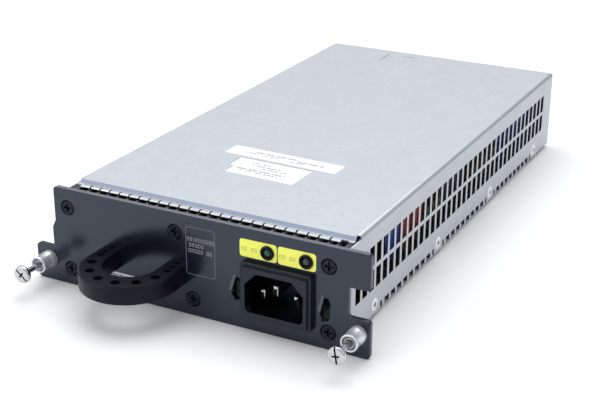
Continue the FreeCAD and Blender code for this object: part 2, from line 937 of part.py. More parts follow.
def cross_recess(body, x_size, width, z, depth, slot=None):
    """A cross recess in a head that faces up the body's own Z."""
    sk = flat(body, z, "Recess")
    arm, half = Size.of(x_size), Size.of(width) / 2
    long_arm = Size.of(slot) if slot else arm
    outline(sk, [
        (-half, -arm),
        (half, -arm),
        (half, -half),
        (long_arm, -half),
        (long_arm, half),
        (half, half),
        (half, arm),
        (-half, arm),
        (-half, half),
        (-long_arm, half),
        (-long_arm, -half),
        (-half, -half),
    ])
    return pocket(body, sk, depth)


def lathe(name, points):
    """A body turned about its own Z from a half profile of (radius, height) points."""
    body = doc.addObject("PartDesign::Body", name)
    sk = sketch_on(body, "XZ_Plane")
    outline(sk, points)
    revolve(body, sk)
    return body


def make_panel_screws():
    """Six black countersunk screws through the panel."""
    head, shank = S.panel_head_radius, S.panel_shank_radius
    face = -S.panel_head_sink
    body = lathe("PanelScrew", [
        (0, -S.panel_screw_length),
        (shank, -S.panel_screw_length),
        (shank, face - 0.1 - head + shank),
        (head, face - 0.1),
        (head - 0.15, face),
        (0, face),
    ])
    cross_recess(body, 1.8, 0.95, face, 1.0)
    spots = [(x, 0, z) for x, z in PANEL_SCREWS]
    return copies(body, spots, "panel_screws", *FRONTWARD)


def make_clinch_nuts():
    """Six round nuts clinched into the bulkhead behind the panel screws."""
    bore = S.panel_shank_radius + S.running_clearance
    body = lathe("ClinchNut", [
        (bore, -3.4),
        (2.3, -3.4),
        (2.5, -3.2),
        (2.5, -1.0),
        (bore, -1.0),
    ])
    spots = [(x, S.panel_thick, z) for x, z in PANEL_SCREWS]
    return copies(body, spots, "clinch_nuts", *FRONTWARD)


def make_side_screws():
    """Eight bright countersunk screws that hold the cover to the tray."""
    head, shank = S.side_head_radius, S.side_shank_radius
    body = lathe("SideScrew", [
        (0, -4.0),
        (shank, -4.0),
        (shank, -S.cover_sheet),
        (head, -0.05),
        (head - 0.1, 0.12),
        (head - 0.9, 0.25),
        (0, 0.25),
    ])
    cross_recess(body, 1.3, 0.65, 0.25, 0.8)
    steps = [S.side_screw_first + S.side_screw_pitch * n for n in range(4)]
    right = [(S.case_right, y, S.side_screw_z) for y in steps]
    left = [(-S.case_left, y, S.side_screw_z) for y in steps]
    links = []
    for spots, turn in ((right, RIGHTWARD), (left, LEFTWARD)):
        for x, y, z in spots:
            link = doc.addObject("App::Link", "side_screw_item")
            link.LinkedObject = body
            link.LinkTransform = False
            place(link, x, y, z, *turn)
            links.append(link)
    return group(links, "cover_screws")


# ---------------------------------------------------------------- captive screws

NECK_BORE = S.screw_neck_radius + S.running_clearance


def make_ferrules():
    """The two turned sleeves pressed into the ears; each guides a captive screw."""
    neck, wide = S.ferrule_neck_radius, S.ferrule_radius
    bore, length = S.ferrule_bore_radius, S.ferrule_length
    body = lathe("Ferrule", [
        (NECK_BORE, -S.panel_thick),
        (S.ferrule_spigot_radius, -S.panel_thick),
        (S.ferrule_spigot_radius, 0),
        (neck - 0.15, 0),
        (neck, 0.15),
        (neck, 2.8),
        (neck - 0.12, 2.92),
        (neck - 0.12, length - 1.1),
        (wide, length - 0.9),
        (wide, length - 0.3),
        (wide - 0.3, length),
        (bore + 0.15, length),
        (bore, length - 0.2),
        (bore, 0.0),
        (NECK_BORE, 0.0),
    ])
    spots = [(x, 0, S.captive_z) for x in CAPTIVES]
    return copies(body, spots, "captive_ferrules", *FRONTWARD)


def make_captive_screw(name, x, spin):
    """A captive screw: coned head with a cross and a slot, plain neck and wider thread.

    The spin is the angle in degrees at which the driver slot has come to rest.
    """
    front, head = S.screw_head_front, S.screw_head_radius
    neck, thread = S.screw_neck_radius, S.screw_thread_radius
    shoulder = -S.panel_thick - S.running_clearance
    body = lathe(name + "_blank", [
        (0, shoulder - S.screw_thread_length),
        (thread - 0.5, shoulder - S.screw_thread_length),
        (thread, shoulder - S.screw_thread_length + 0.6),
        (thread, shoulder - S.thread_lead),
        (neck + 0.1, shoulder),
        (neck, shoulder),
        (neck, front - S.screw_head_height - 1.0),
        (neck + 0.5, front - S.screw_head_height - 0.9),
        (head - 0.4, front - S.screw_head_height),
        (head, front - S.screw_head_height + 0.5),
        (head, front - 0.6),
        (head - 0.2, front - 0.2),
        (head - 0.6, front),
        (0, front),
    ])
    cross_recess(body, 1.5, 0.7, front, 1.1, slot=head + 0.5)
    facing = Rotation(*FRONTWARD) * Rotation(Vector(0, 0, 1), spin)
    body.Placement = Placement(Vector(0, 0, 0), facing)
    place(body, x, 0, S.captive_z)
    return node(body, name)


def make_collar(name, x):
    """The collar on the screw's neck that the spring pushes against."""
    rear = S.collar_front - S.collar_length
    body = lathe(name + "_blank", [
        (NECK_BORE, rear),
        (S.collar_radius, rear),
        (S.collar_radius, S.collar_front - 0.25),
        (S.collar_radius - 0.25, S.collar_front),
        (NECK_BORE, S.collar_front),
    ])
    place(body, x, 0, S.captive_z, *FRONTWARD)
    return node(body, name)


def make_spring(name, x):
    """The coil spring between the ferrule's floor and the collar."""
    wire = S.spring_wire
    free = S.collar_front - S.collar_length - wire * 2 - S.seat_gap * 2
    helix = doc.addObject("Part::Helix", name + "_path")
    bind(helix, "Pitch", free / S.spring_turns)
    bind(helix, "Height", free)
    bind(helix, "Radius", S.spring_radius)
    helix.SegmentLength = 1
    section = doc.addObject("Part::Circle", name + "_wire")
    bind(section, "Radius", wire)
    section.Placement = Placement(Vector(0, 0, 0), Rotation(Vector(1, 0, 0), 90))
    bind(section, "Placement.Base.x", S.spring_radius)
    coil = doc.addObject("Part::Sweep", name + "_coil")
    coil.Sections = [section]
    doc.recompute()
    coil.Spine = (helix, [f"Edge{i + 1}" for i in range(len(helix.Shape.Edges))])
    coil.Solid = True
    coil.Frenet = True
    place(coil, x, -(wire + S.seat_gap), S.captive_z, *FRONTWARD)
    return node(coil, name)


# ---------------------------------------------------------------- pull handle


def make_pull_handle():
    """The moulded U handle with moulding pockets in its upper face and a bevelled rim."""
    body = new_body("PullHandle")
    sk = flat(body, S.handle_low)
    bow(sk, S.handle_middle, -S.handle_outer_centre, S.handle_outer, 0)
    bar = pad(body, sk, S.handle_top - S.handle_low)

    def outer_rim(mid, run):
        return near(mid.z, S.handle_top.value) and mid.y < -0.1

    rim = round_edges(body, bar, outer_rim, S.handle_bevel, kind="PartDesign::Chamfer")

    def lower_rim(mid, run):
        return near(mid.z, S.handle_low.value) and mid.y < -0.1

    round_edges(body, rim, lower_rim, 0.5)
    loop = flat(body, S.handle_top)
    bow(loop, S.handle_middle, -S.handle_inner_centre, S.handle_inner, 1)
    pocket(body, loop, S.handle_top - S.handle_low)
    wells = flat(body, S.handle_top)
    reach = S.handle_pocket_radius
    centre = -(S.handle_outer_centre + S.handle_inner_centre) / 2
    for turn in (-73.5, -44.1, -14.7, 14.7, 44.1, 73.5):
        along_x = math.sin(math.radians(turn))
        along_y = math.cos(math.radians(turn))
        circle(
            wells, S.handle_middle + reach * along_x, centre - reach * along_y * 1.03, 1.95
        )
    pocket(body, wells, S.handle_pocket_depth)
    small = flat(body, S.handle_top)
    for side in (-1, 1):
        x = S.handle_middle + (reach + 0.1) * side
        circle(small, x, -5.6, 1.6)
        circle(small, x, -1.9, 1.3)
    pocket(body, small, 2.2)
    bores = across(body, 0)
    for x in HANDLE_LEGS:
        circle(bores, x, HANDLE_Z, S.handle_screw_radius + S.running_clearance)
    pocket(body, bores, 8, back=True)
    return node(body, "pull_handle")


# ---------------------------------------------------------------- inlet, lamps and labels

INLET_MIDDLE = (S.inlet_left + S.inlet_right) / 2


def make_inlet_housing():
    """The black inlet: a stepped bezel, a body behind the panel and the keyed cavity."""
    body = new_body("InletHousing")
    rim = across(body, 0)
    rectangle(rim, S.inlet_left, S.inlet_low, S.inlet_right, S.inlet_high)
    flange = pad(body, rim, S.inlet_front - 1.2)

    def corners(mid, run):
        return upright(run, 1)

    round_edges(body, flange, corners, 1.2)
    face = across(body, 0)
    step = S.inlet_rim
    rectangle(
        face, S.inlet_left + step, S.inlet_low + step, S.inlet_right - step, S.inlet_high - step
    )
    pad(body, face, S.inlet_front)
    back = across(body, 0)
    rectangle(
        back, S.inlet_body_left, S.inlet_body_low, S.inlet_body_right, S.inlet_body_high
    )
    pad(body, back, S.inlet_back, back=True)
    cavity = across(body, -S.inlet_front)
    cut_size = S.cavity_chamfer
    outline(cavity, [
        (S.cavity_left, S.cavity_low + 1.5),
        (S.cavity_left + 1.5, S.cavity_low),
        (S.cavity_right - 1.5, S.cavity_low),
        (S.cavity_right, S.cavity_low + 1.5),
        (S.cavity_right, S.cavity_high - cut_size),
        (S.cavity_right - cut_size, S.cavity_high),
        (S.cavity_left + cut_size, S.cavity_high),
        (S.cavity_left, S.cavity_high - cut_size),
    ])
    pocket(body, cavity, S.inlet_front + S.cavity_floor)
    slots = across(body, S.cavity_floor)
    for x, z, _ in INLET_BLADES:
        rectangle(
            slots,
            x - S.blade_thick / 2 - 0.02,
            z - S.blade_width / 2 - 0.02,
            x + S.blade_thick / 2 + 0.02,
            z + S.blade_width / 2 + 0.02,
        )
    pocket(body, slots, S.inlet_back - S.cavity_floor)
    return node(body, "inlet_housing")


INLET_BLADES = [
    (INLET_MIDDLE - S.blade_spread, S.blade_low, S.blade_tip),
    (INLET_MIDDLE, S.blade_low + S.blade_rise, -S.earth_tip),
    (INLET_MIDDLE + S.blade_spread, S.blade_low, S.blade_tip),
]


def make_inlet_blades():
    """Three flat contact blades with bevelled tips and solder tabs behind the housing."""
    blades = []
    for x, z, front in INLET_BLADES:
        tip_at = front.value - S.origin_y.value
        tip = softened(
            box(x - S.blade_thick / 2, front, z - S.blade_width / 2,
                S.blade_thick, S.inlet_back - front, S.blade_width, "Blade"),
            0.7,
            lambda mid, run: near(mid.y, tip_at),
            kind="Part::Chamfer",
        )
        tab = box(x - 0.4, S.inlet_back - 1, z - 1.6, 0.8, 7.0, 3.2, "Tab")
        blades.append(fused([tip, tab]))
    return group(blades, "inlet_blades")


def make_lamp_rings():
    """Two black lamp holders: a low flange on the panel and a sleeve through it."""
    bore = S.lamp_lens_radius + S.seat_gap
    body = lathe("LampRing", [
        (bore, -4.5),
        (2.4, -4.5),
        (2.4, 0.15),
        (S.lamp_ring_radius, 0.15),
        (S.lamp_ring_radius, 0.8),
        (S.lamp_ring_radius - 0.4, 1.2),
        (bore + 0.5, 1.2),
        (bore, 0.5),
    ])
    spots = [(x, 0, S.lamp_z) for x in LAMPS]
    return copies(body, spots, "lamp_rings", *FRONTWARD)


def make_lens(name, x):
    """A lamp lens with a low dome."""
    radius = S.lamp_lens_radius
    body = lathe(name + "_blank", [
        (0, -4.5),
        (radius, -4.5),
        (radius, 0.25),
        (radius * 0.9, 0.6),
        (radius * 0.65, 0.9),
        (radius * 0.35, 1.03),
        (0, 1.08),
    ])
    place(body, x, 0, S.lamp_z, *FRONTWARD)
    return node(body, name)


def make_status_labels():
    """Two adhesive labels on the panel, each pierced for its lamp ring."""
    labels = []
    spans = [
        (S.label_left, S.label_gap_left, S.lamp_left),
        (S.label_gap_right, S.label_right, S.lamp_right),
    ]
    for low, high, lamp in spans:
        body = new_body("StatusLabel")
        face = across(body, 0)
        rectangle(face, low, S.label_low, high, S.label_high)
        film = pad(body, face, S.label_thick)
        round_edges(body, film, lambda mid, run: upright(run, 1), S.label_corner)
        hole = across(body, -S.label_thick)
        circle(hole, lamp, S.lamp_z, S.lamp_ring_radius - 0.3)
        pocket(body, hole, S.label_thick)
        labels.append(body)
    return group(labels, "status_labels")


def make_cover_labels():
    """Two plain adhesive labels on the top cover, laid a little askew."""
    labels = []
    shapes = [
        [(-32.1, 70.5), (21.3, 68.8), (21.6, 78.7), (-31.8, 80.4)],
        [
            (-20.2, 50.8),
            (11.5, 49.8),
            (11.9, 67.3),
            (-22.7, 68.2),
            (-22.9, 58.5),
            (-20.0, 58.4),
        ],
    ]
    for corners in shapes:
        body = new_body("CoverLabel")
        face = flat(body, S.case_top)
        outline(face, corners)
        pad(body, face, S.label_thick)
        labels.append(body)
    return group(labels, "cover_labels")


def make_handle_screws():
    """Two pan-head screws from behind the bulkhead into the handle's legs."""
    radius = S.handle_screw_radius
    body = lathe("HandleScrew", [
        (0, -7.0),
        (radius, -7.0),
        (radius, 3.0),
        (2.6, 3.0),
        (2.6, 4.4),
        (2.1, 4.9),
        (0, 4.9),
    ])
    spots = [(x, 0, HANDLE_Z) for x in HANDLE_LEGS]
    return copies(body, spots, "handle_screws", Vector(1, 0, 0), -90)


# ---------------------------------------------------------------- circuit board and its parts

BOARD_TOP = S.board_low + S.board_thick
SEAT = BOARD_TOP + 0.02
POSTS = [
    (-53.0, 42.0),
    (8.0, 38.5),
    (-53.0, 106.0),
    (4.0, 106.0),
    (-53.0, 174.0),
    (4.0, 174.0),
    (-53.0, 236.0),
    (12.0, 236.0),
]


def make_main_board():
    """The main circuit board, pierced over its posts."""
    board = box(
        S.board_left, S.board_front, S.board_low,
        S.board_right - S.board_left, S.board_rear - S.board_front, S.board_thick, "Board"
    )
    holes = [rod(x, y, S.board_low - 1, 1.6, 4) for x, y in POSTS]
    return node(cut(board, holes), "main_board")


def make_board_posts():
    """Round posts clinched into the tray's floor."""
    low = S.case_low + S.sheet
    posts = []
    for x, y in POSTS:
        post = rod(x, y, low, S.post_radius, S.board_low - low, "Z", "Post")
        posts.append(cut(post, [rod(x, y, low + 1.5, 1.45, 8)]))
    return group(posts, "board_posts")


def make_board_screws():
    """Pan-head screws that hold the board to its posts."""
    body = lathe("BoardScrew", [
        (0, -4.5),
        (1.4, -4.5),
        (1.4, 0),
        (2.8, 0),
        (2.8, 1.2),
        (2.2, 1.8),
        (0, 1.8),
    ])
    spots = [(x, y, BOARD_TOP) for x, y in POSTS]
    return copies(body, spots, "board_screws")


def make_insulator():
    """A thin insulating sheet between the board and the tray's floor."""
    low = S.case_low + S.sheet
    film = box(-64.5, 30.0, low, 119.0, 216.0, 0.4, "Film")
    holes = [rod(x, y, low - 1, S.post_radius + 0.1, 3) for x, y in POSTS]
    return node(cut(film, holes), "insulator_sheet")


def upright_box(name, spans, height, radius=0.8):
    """Boxes on the board with rounded upright edges, as one node."""
    blocks = []
    for x_low, y_low, x_high, y_high in spans:
        block = box(x_low, y_low, SEAT, x_high - x_low, y_high - y_low, height)
        blocks.append(softened(block, radius, lambda mid, run: upright(run, 2)))
    return group(blocks, name)


def cans(name, spots, radius, height):
    """Upright round capacitors with a crimp groove, as one node."""
    body = lathe(name + "_can", [
        (0, 0),
        (radius, 0),
        (radius, height * 0.12),
        (radius - 0.5, height * 0.15),
        (radius, height * 0.18),
        (radius, height - 0.5),
        (radius - 0.5, height),
        (0, height),
    ])
    return copies(body, [(x, y, SEAT) for x, y in spots], name)


def make_bulk_capacitors():
    """Two large storage capacitors lying side by side."""
    radius = 12.6
    cans_now = []
    for x in (-48.5, -22.8):
        can = rod(x, 52.0, SEAT + radius, radius, 46.0, "Y", "Can")
        cans_now.append(softened(can, 1.0, lambda mid, run: run.Length < 1e-6))
    return group(cans_now, "bulk_capacitors")


def make_toroid(name, spots, radius, tube, turns):
    """Upright wound ring cores; the winding is a row of close turns round the core."""
    cores = []
    for x, y in spots:
        base_z = SEAT + radius + tube + 1.0
        core = ring(x, y, base_z, radius, tube, "Y", "Core")
        foot = box(x - radius, y - tube, SEAT, radius * 2, tube * 2, 3.2, "Foot")
        cores.append(fused([core, foot]))
    return group(cores, name)


def make_transformer():
    """The main transformer: a ferrite core round a taped winding."""
    core = box(14.0, 120.0, SEAT, 34.0, 9.0, 27.0, "CoreA")
    core_b = box(14.0, 143.0, SEAT, 34.0, 9.0, 27.0, "CoreB")
    leg_a = box(14.0, 128.0, SEAT, 5.0, 16.0, 27.0, "LegA")
    leg_b = box(43.0, 128.0, SEAT, 5.0, 16.0, 27.0, "LegB")
    node(fused([core, core_b, leg_a, leg_b]), "transformer_core")
    winding = box(19.1, 129.1, SEAT, 23.8, 13.8, 26.0, "Winding")
    taped = softened(winding, 2.5, lambda mid, run: upright(run, 2))
    node(taped, "transformer_winding")


def finned_sink(name, x, y, length, side=1):
    """An upright extruded heat sink: a wall along Y with fins on one side."""
    wall = box(x, y, SEAT, 3.0, length, 27.5, "Wall")
    fins = [wall]
    for number in range(5):
        z = SEAT + 4.5 + 5.4 * number
        start = x + 2.9 if side > 0 else x - 7.9
        fins.append(box(start, y, z, 8.0, length, 1.3, "Fin"))
    return node(fused(fins), name)


def make_small_parts():
    """The smaller parts along the board's right-hand edge and beside the control board."""
    upright_box("line_filter_capacitor", [(36.5, 58.5, 49.5, 72.5)], 20.0)
    upright_box("safety_capacitors", [(37.5, 74.5, 49.5, 85.0), (37.5, 86.5, 49.5, 97.5)], 17.5)
    upright_box(
        "film_capacitors",
        [(46.8, 99.5, 50.3, 106.0), (46.8, 108.0, 50.3, 117.5), (45.0, 155.0, 50.0, 165.0),
         (45.0, 168.0, 50.0, 178.0), (45.0, 181.0, 50.0, 191.0)],
        9.0, 0.6,
    )
    chips = []
    for number in range(14):
        chips.append(box(51.0, 46.0 + 12.3 * number, SEAT, 2.2, 4.2, 2.0, "Edge"))
    group(chips, "edge_components")
    upright_box("relay_block", [(-8.0, 40.0, 4.0, 56.0)], 15.0)
    upright_box("bridge_rectifier", [(-4.0, 84.5, -0.1, 106.0)], 20.0, 0.5)
    upright_box(
        "switching_transistors",
        [(15.1, 92.0, 19.3, 108.0), (-12.3, 166.0, -8.1, 182.0), (-12.3, 184.0, -8.1, 200.0)],
        19.0, 0.4,
    )
    rows = [199.0 + 11.6 * number for number in range(4)]
    cans("output_capacitors", [(x, y) for x in (33.0, 44.5) for y in rows], 5.0, 21.0)
    cans("auxiliary_capacitors", [(-40.0, 214.0), (-30.0, 214.0), (-40.0, 224.0)], 4.0, 14.0)


def make_control_board():
    """The upright control board with its chips facing inwards."""
    plate = box(-59.0, 112.0, SEAT, 1.6, 120.0, 24.0, "Card")
    node(plate, "control_board")
    chips = []
    for y, z, dy, dz in ((122.0, 14.0, 12.0, 12.0), (150.0, 18.0, 9.0, 6.0),
                         (172.0, 14.0, 14.0, 14.0), (204.0, 20.0, 10.0, 5.0)):
        chips.append(box(-57.38, y, SEAT + z - 8.0, 1.6, dy, dz, "Chip"))
    group(chips, "control_chips")


def make_output_choke():
    """The output choke: a square core with rounded edges."""
    upright_box("output_choke", [(-50.0, 118.0, -26.0, 142.0)], 22.0, 3.0)


def make_bus_bars():
    """Two flat output bars from the board's rear edge into the rear connector."""
    bars = []
    for x in (-24.0, -4.0):
        foot = box(x, 206.0, SEAT, 12.0, 34.0, 1.5, "Bar")
        riser = box(x, 238.5, SEAT, 12.0, 1.5, 5.9, "Riser")
        tongue = box(x, 238.5, SEAT + 4.4, 12.0, 19.8, 1.5, "Tongue")
        bars.append(fused([foot, riser, tongue]))
    return group(bars, "output_bus_bars")


def make_rear_connector():
    """The blind-mate connector in the rear wall: shell, power blades and signal pins."""
    front = 244.6
    shell = box(
        S.plug_left, front, S.plug_low, S.plug_right - S.plug_left, S.plug_rear - front,
        S.plug_high - S.plug_low, "Shell"
    )
    shell = softened(
        shell, 1.0, lambda mid, run: near(mid.y, S.plug_rear.value - S.origin_y.value),
        kind="Part::Chamfer",
    )
    tools = []
    for x in (-24.6, -4.6):
        tools.append(box(x, front - 1, 12.0, 13.2, 30.0, 4.0, "Bay"))
    tools.append(box(11.5, 252.0, 10.6, 9.6, 12.0, 6.8, "PinBay"))
    tools.append(box(-34.4, 252.0, 10.6, 6.0, 12.0, 6.8, "GuideBay"))
    for column in range(4):
        for level in range(3):
            tools.append(box(12.4 + 2.2 * column - 0.05, front - 1, 11.7 + 2.0 * level - 0.05,
                             0.74, 12.0, 0.74, "PinWay"))
    node(cut(shell, tools), "rear_connector_shell")
    pins = []
    for column in range(4):
        for level in range(3):
            pins.append(box(12.4 + 2.2 * column, 242.0, 11.7 + 2.0 * level, 0.64, 16.5, 0.64,
                            "Pin"))
    group(pins, "rear_signal_pins")


def make_fuse():
    """The line fuse in its two end caps."""
    tube = rod(-24.0, 36.0, SEAT + 4.6, 2.9, 14.0, "Y", "Tube")
    cap_a = rod(-24.0, 35.0, SEAT + 4.6, 3.3, 4.5, "Y", "Cap")
    cap_b = rod(-24.0, 46.5, SEAT + 4.6, 3.3, 4.5, "Y", "Cap")
    leg_a = box(-25.0, 36.0, SEAT, 2.0, 2.0, 4.0, "Leg")
    leg_b = box(-25.0, 48.0, SEAT, 2.0, 2.0, 4.0, "Leg")
    return node(fused([tube, cap_a, cap_b, leg_a, leg_b]), "line_fuse")


def wire(points, radius):
    """A round wire swept along a smooth curve through the given working points."""
    shift = Vector(S.origin_x.value, S.origin_y.value, 0)
    spots = [Vector(*p) - shift for p in points]
    curve = Part.BSplineCurve()
    curve.interpolate(spots)
    spine = Part.Wire([curve.toShape()])
    start = Part.Circle(spots[0], curve.tangent(curve.FirstParameter)[0], radius)
    section = Part.Wire([start.toShape()])
    return spine.makePipeShell([section], True, True)


def make_wires():
    """Three insulated wires from the inlet's tabs down to the board."""
    names = ["neutral_wire", "earth_wire", "live_wire"]
    for name, (x, z, _), drop in zip(names, INLET_BLADES, (-6.0, 0.0, 6.0)):
        x_now, z_now = x.value, z.value
        spots = [
            (x_now, 24.6, z_now),
            (x_now, 28.5, z_now + 0.4),
            (x_now + drop * 0.3, 33.0, z_now - 1.0),
            (x_now + drop * 0.45, 36.3, BOARD_TOP.value + 3.0),
            (x_now + drop * 0.45, 36.4, BOARD_TOP.value + 0.3),
        ]
        feature = doc.addObject("Part::Feature", name)
        feature.Shape = wire(spots, 1.3)
        node(feature, name)


# ---------------------------------------------------------------- the assembly

make_front_panel()
make_top_cover()
make_chassis_tray()
make_front_bulkhead()
make_finger_strip()
make_panel_screws()
make_clinch_nuts()
make_side_screws()
make_ferrules()
for side, place_x, spin in zip(("left", "right"), CAPTIVES, (-41, -81)):
    make_captive_screw(f"captive_screw_{side}", place_x, spin)
    make_collar(f"captive_collar_{side}", place_x)
    make_spring(f"captive_spring_{side}", place_x)
make_pull_handle()
make_handle_screws()
make_inlet_housing()
make_inlet_blades()
make_lamp_rings()
make_lens("lamp_lens_green", S.lamp_left)
make_lens("lamp_lens_clear", S.lamp_right)
make_status_labels()
make_cover_labels()
make_main_board()
make_board_posts()
make_board_screws()
make_insulator()
make_small_parts()
make_bulk_capacitors()
make_toroid("line_chokes", [(21.0, 46.0), (21.0, 62.0)], 8.0, 3.6, 20)
make_toroid("boost_choke", [(33.0, 102.0)], 9.0, 4.2, 26)
make_transformer()
finned_sink("primary_heat_sink", 12.0, 74.0, 42.0, side=-1)
finned_sink("output_heat_sink", -8.0, 160.0, 44.0)
make_control_board()
make_output_choke()
make_bus_bars()
make_rear_connector()
make_fuse()
make_wires()

doc.recompute()
for obj in doc.Objects:
    if "Invalid" in obj.State or "Error" in obj.State:
        raise RuntimeError(f"{obj.Name} ({obj.Label}) failed: {obj.State}")
os.makedirs("parts", exist_ok=True)
for name, obj in NODES.items():
    shape = obj.Shape
    if shape.isNull() or not shape.isValid():
        raise RuntimeError(f"{name} has no valid shape")
    shape.exportStep(f"parts/{name}.step")
    print(name, len(shape.Solids), "solids", round(shape.Volume, 1), "mm3")
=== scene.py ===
import json
import logging
import math
from dataclasses import dataclass, replace
from enum import Enum
from typing import Iterable, Iterator, Sequence, Union

import bmesh
import bpy
from mathutils import Matrix, Vector

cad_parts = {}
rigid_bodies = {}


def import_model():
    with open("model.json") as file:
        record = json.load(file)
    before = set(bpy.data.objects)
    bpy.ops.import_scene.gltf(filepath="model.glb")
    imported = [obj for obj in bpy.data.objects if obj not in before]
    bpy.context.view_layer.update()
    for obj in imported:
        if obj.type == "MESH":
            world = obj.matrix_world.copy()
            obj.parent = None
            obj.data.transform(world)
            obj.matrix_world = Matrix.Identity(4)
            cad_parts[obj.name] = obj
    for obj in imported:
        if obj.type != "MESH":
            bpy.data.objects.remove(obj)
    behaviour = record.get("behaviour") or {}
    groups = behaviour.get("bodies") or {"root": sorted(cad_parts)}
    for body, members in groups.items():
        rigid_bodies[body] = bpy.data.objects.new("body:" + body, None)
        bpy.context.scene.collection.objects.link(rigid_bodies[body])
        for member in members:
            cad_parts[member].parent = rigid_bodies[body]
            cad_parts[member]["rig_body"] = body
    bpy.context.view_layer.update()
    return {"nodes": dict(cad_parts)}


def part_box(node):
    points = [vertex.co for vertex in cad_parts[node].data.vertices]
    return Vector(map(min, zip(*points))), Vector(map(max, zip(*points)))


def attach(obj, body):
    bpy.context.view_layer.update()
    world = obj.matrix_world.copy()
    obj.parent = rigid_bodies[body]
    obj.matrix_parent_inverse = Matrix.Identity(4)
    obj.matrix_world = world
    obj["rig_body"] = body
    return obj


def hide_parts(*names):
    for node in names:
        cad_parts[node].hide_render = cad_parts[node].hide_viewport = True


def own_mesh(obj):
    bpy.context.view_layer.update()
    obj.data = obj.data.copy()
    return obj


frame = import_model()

log = logging.getLogger("power_supply")

# Lengths are in millimetres from the panel's middle where nothing else is said.
MM = 0.001
ORIGIN_X = -5.0
ORIGIN_Y = 116.7
HOUSING = "housing"
# How far a print stands off its face, and what a disc's corners lack to half its width.
PRINT_LIFT = 0.02
CORNER_SLACK = 0.01
LABEL_TOP = 39.85
# Angles in degrees above which the edges of prints and of round wire stay sharp.
PRINT_SHARP = 30.0
ROUND_SHARP = 60.0
# Faces larger than this, in square metres, are shaded flat.
FLAT_AREA = 60.0 * MM * MM
# Edges are softened above the first angle; faces that meet below the second are joined.
CORNER_ANGLE = math.radians(40.0)
LEVEL_ANGLE = math.radians(0.6)
# Vertices are merged within these distances in metres, in a CAD mesh and in a piece.
LOOSE_FACES = 2e-6
SAME_PLACE = 1e-7
# The wire's sides and the steps of one turn, for a coil and for a ring.
COIL_STEPS = (12, 28)
RING_STEPS = (8, 20)
UPRIGHT = Matrix.Rotation(math.pi / 2, 4, "X")
REARWARD = Matrix.Rotation(-math.pi / 2, 4, "X")
RANGE_ENDS = ("From Min", "From Max", "To Min", "To Max")
EVEN = (1.0, 1.0, 1.0)

Colour = tuple[float, float, float]
Place = tuple[float, float, float]
Pair = tuple[float, float]
Four = tuple[float, float, float, float]
Socket = bpy.types.NodeSocket
Value = Union[bpy.types.NodeSocket, float, Sequence[float]]


def at(x: float, y: float, z: float) -> Vector:
    """Turn millimetres from the middle of the panel's front into a place in the row frame."""
    return Vector((x - ORIGIN_X, y - ORIGIN_Y, z)) * MM


# ------------------------------------------------------------------ shader graphs


